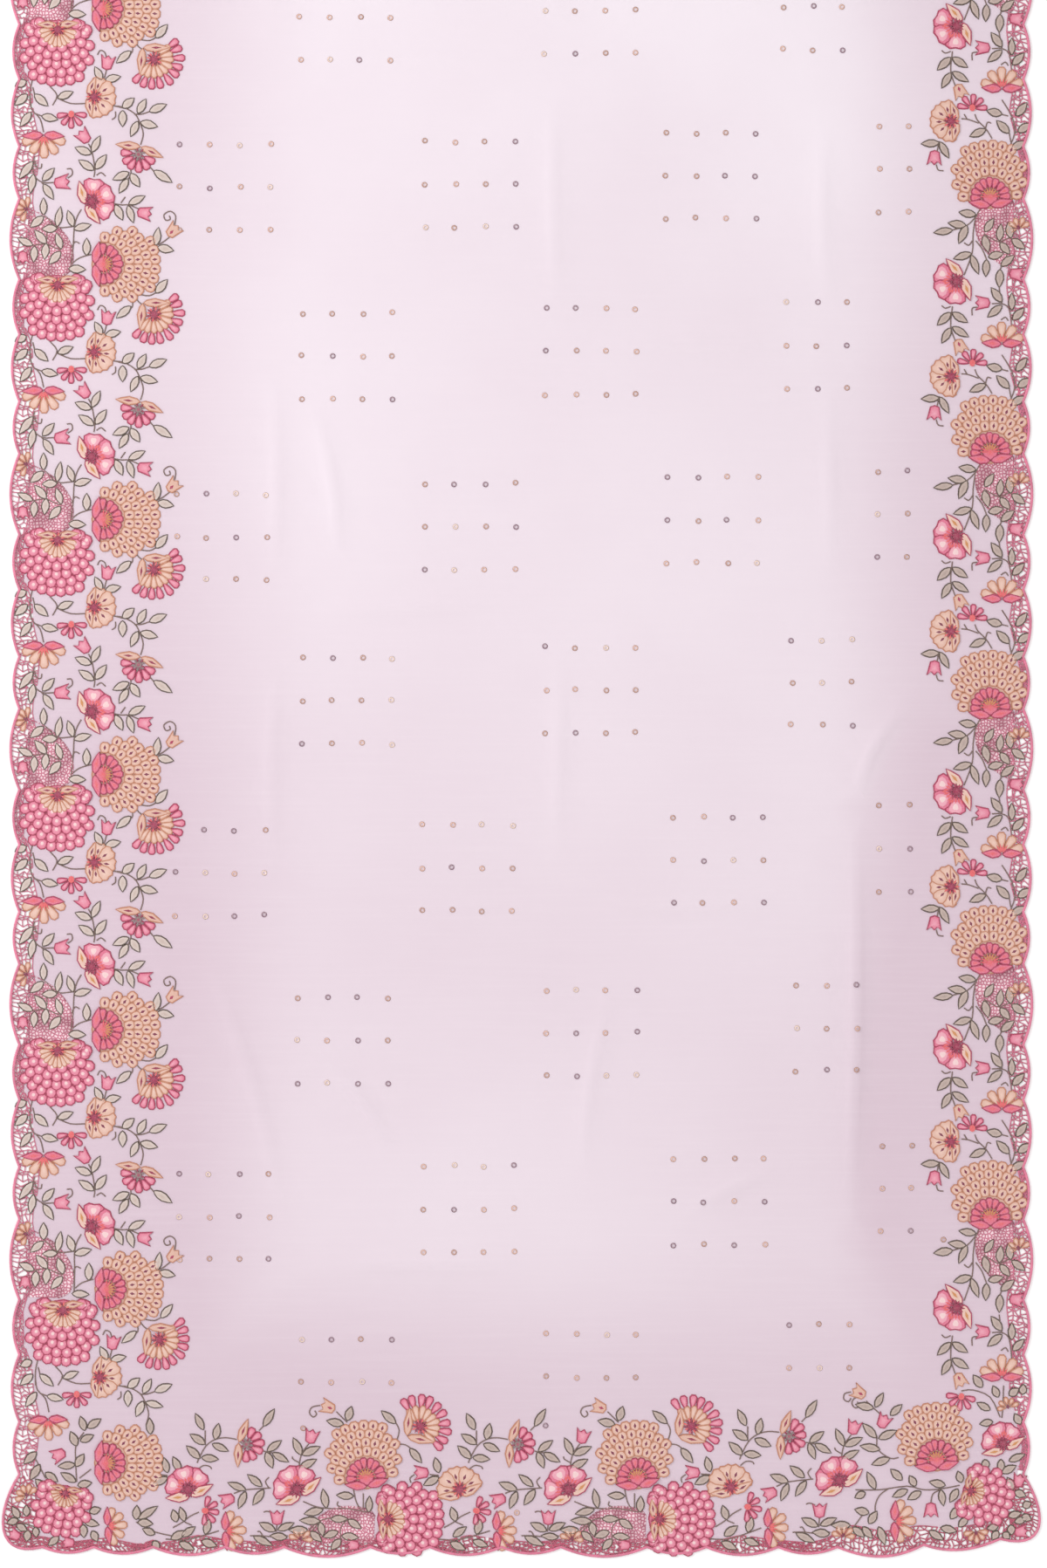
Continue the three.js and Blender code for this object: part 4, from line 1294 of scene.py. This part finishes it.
def organza(material):
    """The whole sheer cloth as one thin closed shell."""
    places, faces = flat_cloth()
    count = len(places)
    under = np.column_stack((places, lift(places[:, 0], places[:, 1])))
    over = under + np.array((0, 0, SHEER_THICKNESS))
    directed = {(f[i], f[(i + 1) % 3]) for f in faces for i in range(3)}
    rim = [(a, b) for a, b in directed if (b, a) not in directed]
    shell = [(a + count, b + count, c + count) for a, b, c in faces]
    shell += [(c, b, a) for a, b, c in faces]
    shell += [(a, b, b + count, a + count) for a, b in rim]
    mesh = bpy.data.meshes.new("organza")
    mesh.from_pydata((np.vstack((under, over)) * MM).tolist(), [], shell)
    # Each point's share of the deeper colour, painted shade and shadow included.
    tint = mesh.attributes.new("tint", "FLOAT", "POINT")
    tint.data.foreach_set("value", np.tile(tint_and_painted_shade_at(places[:, 0], places[:, 1]), 2))
    mesh.materials.append(material)
    mesh.shade_smooth()
    mesh.set_sharp_from_angle(angle=math.radians(SHARP_ANGLE))
    return new_object("organza", mesh)


# ---- Materials ----------------------------------------------------------------------------

# A wave texture of scale 1 repeats every 0.314 units.
WAVE_SCALE = 0.314
WEAVE_PITCH = 0.0008
# Scales of the patterns over the cloth: how many of their features go into a metre.
CLOUDS = 3.2
SLUBS = (9, 260, 1)
DYE_DRIFT = 90.0
SPECKLES = 900.0
PATCH_CELLS = 285.0
PATCH_DRIFT = 55.0
# Spots of painted glint on the sequins.
FOIL_GLINT_SPOTS = 700.0


def new_material(name, **sockets):
    """A material and its shader, with plain values set on the shader's own sockets."""
    material = bpy.data.materials.new(name)
    material.use_nodes = True
    tree = material.node_tree
    shader = tree.nodes["Principled BSDF"]
    for label, value in sockets.items():
        shader.inputs[label.replace("_", " ")].default_value = value
    return material, tree, shader


def mixed(tree, factor, low, high):
    """A colour mix: low and high are colours or sockets."""
    node = add_node(tree, "ShaderNodeMix", {"Factor": factor}, data_type="RGBA")
    for index, value in ((6, low), (7, high)):
        if isinstance(value, bpy.types.NodeSocket):
            tree.links.new(value, node.inputs[index])
        else:
            node.inputs[index].default_value = value
    return node.outputs[2]


def level(tree, value, low, high, to_low, to_high):
    """A value's range from low to high, turned into another range."""
    return add_node(tree, "ShaderNodeMapRange", {"Value": value, "From Min": low, "From Max": high,
                                                 "To Min": to_low, "To Max": to_high}).outputs[0]


def attribute(tree, name, output):
    """One output of a node that reads the mesh's attribute of this name."""
    return add_node(tree, "ShaderNodeAttribute", attribute_name=name).outputs[output]


def cloth_coordinates(tree, stretch=(1.0, 1.0, 1.0)):
    """Places on the cloth in metres, stretched by a factor for each direction."""
    place = add_node(tree, "ShaderNodeTexCoord").outputs["Object"]
    return add_node(tree, "ShaderNodeMapping", {"Vector": place, "Scale": stretch}).outputs[0]


def noise(tree, scale, detail=2.0, stretch=(1.0, 1.0, 1.0)):
    """A soft uneven pattern over the cloth."""
    return add_node(tree, "ShaderNodeTexNoise", {"Vector": cloth_coordinates(tree, stretch), "Scale": scale,
                                                 "Detail": detail}).outputs["Fac"]


def bands(tree, where, direction, pitch, distortion, detail_scale):
    """Slightly uneven parallel bands, this far apart in the unit of their coordinates."""
    return add_node(tree, "ShaderNodeTexWave",
                    {"Vector": where, "Scale": WAVE_SCALE / pitch, "Distortion": distortion, "Detail": 1.0,
                     "Detail Scale": detail_scale},
                    wave_type="BANDS", bands_direction=direction).outputs["Fac"]


def dressed(tree, shader, colour, height=None, strength=1.0, distance=0.0):
    """Gives the shader its colour and its bump: the bump's distance is in metres."""
    tree.links.new(colour, shader.inputs["Base Color"])
    if height:
        bump = add_node(tree, "ShaderNodeBump",
                        {"Strength": strength, "Distance": distance, "Height": height})
        tree.links.new(bump.outputs[0], shader.inputs["Normal"])


def woven_height(tree, pitch):
    """Over and under of a plain weave, in threads this far apart in metres."""
    where = cloth_coordinates(tree)
    across, along = (bands(tree, where, direction, pitch, 0.6, 1.5) for direction in ("X", "Y"))
    return add_node(tree, "ShaderNodeMath", {0: across, 1: along}, operation="MULTIPLY").outputs[0]


def organza_material():
    """Sheer crisp weave: pale in the middle, deeper past the tuck, and darker with painted shade and shadow
    at the borders and towards the pallu end.
    """
    material, tree, shader = new_material("organza", Roughness=0.5, Sheen_Weight=0.25, Sheen_Roughness=0.35,
                                          Specular_IOR_Level=0.3, Alpha=0.72)
    # The deeper colour, with painted shade and shadow, from each point's share of it.
    base = mixed(tree, attribute(tree, "tint", "Fac"), CLOTH_PALE, CLOTH_MAUVE_AND_SHADE)
    clouds = level(tree, noise(tree, CLOUDS, 3.0), 0.35, 0.7, 0.0, 0.16)
    slubs = level(tree, noise(tree, 1.0, 3.0, SLUBS), 0.45, 0.75, 0.0, 0.1)
    colour = mixed(tree, slubs, mixed(tree, clouds, base, CLOTH_MAUVE_AND_SHADE), SLUB_PALE)
    dressed(tree, shader, colour, woven_height(tree, WEAVE_PITCH), 0.12, 0.0002)
    return material


def thread_material(name, dye=None, twist=0.9, strength=0.35, roughness=0.5):
    """Stitched thread, of the thread attribute's colours or one dye. Its twist is in millimetres."""
    material, tree, shader = new_material(name, Roughness=roughness, Sheen_Weight=0.06, Sheen_Roughness=0.4,
                                          Specular_IOR_Level=0.35)
    if dye is None:
        colour = attribute(tree, "thread", "Color")
    else:
        deep = tuple(DYE_DEPTH * part for part in dye[:3]) + (1.0,)
        colour = mixed(tree, level(tree, noise(tree, DYE_DRIFT), 0.35, 0.65, 0.0, 1.0), deep, dye)
    speckle = level(tree, noise(tree, SPECKLES, 1.0), 0.4, 0.75, 0.0, 0.1)
    rows = bands(tree, attribute(tree, "stitch", "Vector"), "DIAGONAL", twist, 1.2, 0.6)
    dressed(tree, shader, mixed(tree, speckle, colour, THREAD_SPECKLE), rows, strength, 0.0003)
    return material


def patch_material():
    """Fine knotted net: rose strands round small pale holes."""
    material, tree, shader = new_material("net_patch", Roughness=0.6, Specular_IOR_Level=0.3)
    cells = add_node(tree, "ShaderNodeTexVoronoi",
                     {"Vector": cloth_coordinates(tree), "Scale": PATCH_CELLS, "Randomness": 0.85},
                     feature="DISTANCE_TO_EDGE", voronoi_dimensions="2D").outputs["Distance"]
    drift = noise(tree, PATCH_DRIFT)
    strands = mixed(tree, level(tree, drift, 0.38, 0.62, 0.0, 1.0), *PATCH_STRANDS)
    holes = mixed(tree, level(tree, drift, 0.4, 0.6, 0.0, 1.0), *PATCH_HOLES)
    colour = mixed(tree, level(tree, cells, 0.15, 0.23, 0.0, 1.0), strands, holes)
    dressed(tree, shader, colour, level(tree, cells, 0.05, 0.28, 1.0, 0.0), 0.6, 0.0005)
    return material


def sequin_material():
    """Foiled rings in four finishes, with pale spots of painted glint at random."""
    material, tree, shader = new_material("sequin_foil", Roughness=0.34, Metallic=0.2, Specular_IOR_Level=0.6)
    ramp = add_node(tree, "ShaderNodeValToRGB", {"Fac": attribute(tree, "finish", "Fac")})
    ramp.color_ramp.interpolation = "CONSTANT"
    stops = ramp.color_ramp.elements
    while len(stops) < len(FOILS):
        stops.new(1.0)
    for stop, (position, shade) in zip(stops, FOILS):
        stop.position = position
        stop.color = shade
    # Painted glints: pale spots over the foils.
    glints = level(tree, noise(tree, FOIL_GLINT_SPOTS), 0.45, 0.7, 0.0, 0.35)
    dressed(tree, shader, mixed(tree, glints, ramp.outputs[0], PAINTED_FOIL_GLINT))
    return material


# ---- The saree ----------------------------------------------------------------------------

HALF_WAY = SIDE_REPEATS // 2
PALLU_TURNS = (-1, 0, 1, 2)
# The embroidery of each side lies a little up or down from the scallops' own repeat.
WIDE_START = SIDE_START + 5
NARROW_START = SIDE_START - 8
wide_chart = (WIDE_FLOWERS, WIDE_LEAVES, WIDE_STEMS)
narrow_chart = (NARROW_FLOWERS, NARROW_LEAVES, NARROW_STEMS)
pallu_chart = (PALLU_FLOWERS, PALLU_LEAVES, PALLU_STEMS)
pallu_first = (tuple((PALLU_SWAPS.get(f[0], f[0]), *f[1:]) for f in PALLU_FLOWERS), PALLU_LEAVES, PALLU_STEMS)


def settled(x, y):
    """A place of the pallu's motifs, which lie a little lower than charted except beside the rim."""
    return x, y - PALLU_SETTLE["amount"] * smooth(y, PALLU_SETTLE["from"], PALLU_SETTLE["to"])


def risen(x, y, start):
    """A settled place of the pallu repeat that starts there, raised towards the narrow border."""
    share = smooth(start + x, PALLU_STRETCH["from_x"], PALLU_STRETCH["to_x"])
    share *= min(1, y / PALLU_STRETCH["full_height"])
    return x, settled(x, y)[1] + PALLU_STRETCH["amount"] * share


def shown_on_pallu(x, turn):
    """Whether a repeat of the pallu keeps what is at x: the first and the last are cut short."""
    if turn == PALLU_TURNS[0]:
        return x > PALLU_FIRST_FROM
    return turn != PALLU_TURNS[-1] or x < PALLU_LAST_TO


def shifted_in(x, y):
    """A place of the wide chart at the corner, where it lies further in."""
    return x + LEFT_SHIFT["amount"] * (1 - smooth(y, LEFT_SHIFT["from"], LEFT_SHIFT["to"])), y


def dropped(x, y):
    """A place of the narrow chart at the corner, where it is drawn out towards the pallu."""
    return x, y - RIGHT_DROP["amount"] - RIGHT_DROP["per_mm"] * (SIDE_PITCH - y)


cloth = organza(organza_material())
repeat = repeat_tree(thread_material("embroidery_thread"))
patching = repeat_tree(patch_material())
netting = net_tree(thread_material("net_thread", NET_PINK, roughness=0.55))
pallu_netting = net_tree(thread_material("pallu_net_thread", NET_ROSE, roughness=0.55))
rim_cord = net_tree(thread_material("rim_satin", RIM_ROSE, twist=1.6, strength=0.6, roughness=0.42))
hem_roll = net_tree(thread_material("hem_stitching", HEM_MAUVE, twist=2.4, strength=0.5))

wide = Needlework(SEEDS["wide"])
stitch_chart(wide, *wide_chart, (WIDE_EDGE, 0), leaf_look=PALE_LEAF_LOOK)
narrow = Needlework(SEEDS["narrow"])
stitch_chart(narrow, *narrow_chart, (NARROW_EDGE, 0))
wide_last = Needlework(SEEDS["wide_end"])
stitch_chart(wide_last, *wide_chart, (WIDE_EDGE, 0), lambda x, y: y < WIDE_LAST_TO, leaf_look=PALE_LEAF_LOOK)

pallu = Needlework(SEEDS["pallu"])
for turn in PALLU_TURNS:
    start = PALLU_START + turn * PALLU_PITCH
    stitch_chart(pallu, *(pallu_first if turn == PALLU_TURNS[0] else pallu_chart), (start, PALLU_EDGE),
                 keep=lambda x, y, turn=turn: shown_on_pallu(x, turn),
                 lay=lambda x, y, start=start: risen(x, y, start))

left = Needlework(SEEDS["left"])
stitch_chart(left, LEFT_FLOWERS, LEFT_LEAVES, LEFT_STEMS, (0, PALLU_EDGE), lay=settled)
stitch_chart(left, *wide_chart, (WIDE_EDGE, SIDE_START), lambda x, y: y > WIDE_FIRST_FROM, shifted_in,
             PALE_LEAF_LOOK)
right = Needlework(SEEDS["right"])
stitch_chart(right, RIGHT_FLOWERS, RIGHT_LEAVES, RIGHT_STEMS, (0, PALLU_EDGE), lay=settled)
stitch_chart(right, *narrow_chart, (NARROW_EDGE, SIDE_START), lambda x, y: y > NARROW_FIRST_FROM, dropped)

stitched = [embroidery(name, work, repeat, count, start) for name, work, count, start in (
    ("wide_embroidery_near", wide, HALF_WAY, WIDE_START + SIDE_PITCH),
    ("wide_embroidery_far", wide, SIDE_REPEATS - 2 - HALF_WAY, WIDE_START + (HALF_WAY + 1) * SIDE_PITCH),
    ("wide_embroidery_end", wide_last, 1, WIDE_START + (SIDE_REPEATS - 1) * SIDE_PITCH),
    ("narrow_embroidery", narrow, SIDE_REPEATS - 1, NARROW_START + SIDE_PITCH),
    ("pallu_embroidery", pallu, 1, 0),
    ("left_corner_embroidery", left, 1, 0),
    ("right_corner_embroidery", right, 1, 0),
)]


def one_repeat_of_edge(side):
    """The scalloped edge over the first repeat, with the cloth on its left."""
    edge = [p for p in side_edge(side, EDGE_STEP) if p[1] <= SIDE_START + SIDE_PITCH + 0.01]
    return [(x, y - SIDE_START) for x, y in (reversed(edge) if side < 0 else edge)]


for side, patch, name, cord in ((-1, WIDE_PATCH, "wide", WIDE_CORD), (1, NARROW_PATCH, "narrow", OTHER_CORD)):
    chance = random.Random(SEEDS[name + "_net"])
    strands = edge_net(one_repeat_of_edge(side), chance, SIDE_MESH, 0, (0, side * SIDE_PITCH))
    stitched.append(corded(name + "_net", strands, netting, cord, NET_SIDES, SIDE_REPEATS, SIDE_START,
                           **NET_LAY))
    work = patch_work([(side * WIDTH / 2 + x, y) for x, y in patch])
    stitched.append(embroidery(name + "_patches", work, patching, SIDE_REPEATS, SIDE_START))
strands = edge_net(pallu_edge(EDGE_STEP), random.Random(SEEDS["pallu_net"]), PALLU_MESH)
stitched.append(corded("pallu_net", strands, pallu_netting, OTHER_CORD, NET_SIDES, **NET_LAY))
work = patch_work([(PALLU_START + x, PALLU_EDGE + y) for x, y in PALLU_PATCH])
stitched.append(embroidery("pallu_patches", work, patching, 2, sideways=True))

rim_path = [(x, y, RIM_RADIUS) for x, y in moved_in(RIM, RIM_RADIUS)]
stitched.append(corded("scallop_rim", [rim_path], rim_cord, RIM_RADIUS, RIM_SIDES, flatten=RIM_FLATTEN))

HEM_STEPS = 160
HEM_SIDES = 10
HEM_SHORT = 3
HEM_LAY = {"floor_z": 1.05, "flatten": 0.34}
hem_reach = WIDTH / 2 - HEM_SHORT
hem_xs = (-hem_reach + 2 * hem_reach * i / HEM_STEPS for i in range(HEM_STEPS + 1))
hem_line = [(x, LENGTH / 2 - HEM_WIDTH / 2, 0.0) for x in hem_xs]
hem = corded("rolled_hem_roll", [hem_line], hem_roll, HEM_WIDTH / 2, HEM_SIDES, **HEM_LAY)

sequin_points = bpy.data.meshes.new("sequins")
sequin_points.from_pydata([(x, y, 0.0) for x, y in sequin_places()], [], [])
sequins = new_object("sequins", sequin_points)
made_plain(sequins, sequin_tree(sequin_material()), {"Radius": SEQUIN_RADIUS, "Seed": SEEDS["sequin_finish"]})
laid_on_cloth(sequins, **SEQUIN_LAY)

for piece in [cloth, *stitched, hem, sequins]:
    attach(piece, "root")
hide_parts("organza_ground", "wide_border", "narrow_border", "pallu_border")
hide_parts("far_hem")

# ---- Floor, light and camera --------------------------------------------------------------

FLOOR_HALF = 9.0
FLOOR_UNDER = 0.0004
corners = [(x * FLOOR_HALF, y * FLOOR_HALF, -FLOOR_UNDER) for x, y in ((-1, -1), (1, -1), (1, 1), (-1, 1))]
floor_mesh = bpy.data.meshes.new("floor")
floor_mesh.from_pydata(corners, [], [(0, 1, 2, 3)])
floor_mesh.materials.append(new_material("white_table", Base_Color=(0.94, 0.94, 0.94, 1), Roughness=0.9,
                                         Specular_IOR_Level=0.0)[0])
floor = new_object("floor", floor_mesh)

SKY_STRENGTH = 0.78
scene = bpy.context.scene
scene.view_settings.view_transform = "Standard"
world = bpy.data.worlds.new("studio")
world.use_nodes = True
backdrop = world.node_tree.nodes["Background"]
backdrop.inputs["Color"].default_value = (1, 1, 1, 1)
backdrop.inputs["Strength"].default_value = SKY_STRENGTH
scene.world = world

# Where the camera looks at. Lamps: place from there, height, width and power.
VIEW_MIDDLE = (0.0024, -1.8887)
for name, offset, height, size, power in (
    ("key_light", (-2.6, 1.2), 2.6, 2.4, 70),
    ("fill_light", (1.8, -1.6), 3.4, 2.6, 30),
):
    lamp = bpy.data.lights.new(name, "AREA")
    lamp.shape = "DISK"
    lamp.size = size
    lamp.energy = power
    light = bpy.data.objects.new(name, lamp)
    scene.collection.objects.link(light)
    light.location = (VIEW_MIDDLE[0] + offset[0], VIEW_MIDDLE[1] + offset[1], height)
    aim = Vector((*VIEW_MIDDLE, 0)) - light.location
    light.rotation_euler = aim.to_track_quat("-Z", "Y").to_euler()

# The length of cloth that the camera's longer side takes in, in metres.
VIEW_HEIGHT = 1.746
LENS = 85
SENSOR = 36
lens = bpy.data.cameras.new("camera")
lens.lens = LENS
lens.sensor_width = SENSOR
camera = bpy.data.objects.new("camera", lens)
scene.collection.objects.link(camera)
camera.location = (*VIEW_MIDDLE, VIEW_HEIGHT / 2 * LENS / (SENSOR / 2))
scene.camera = camera
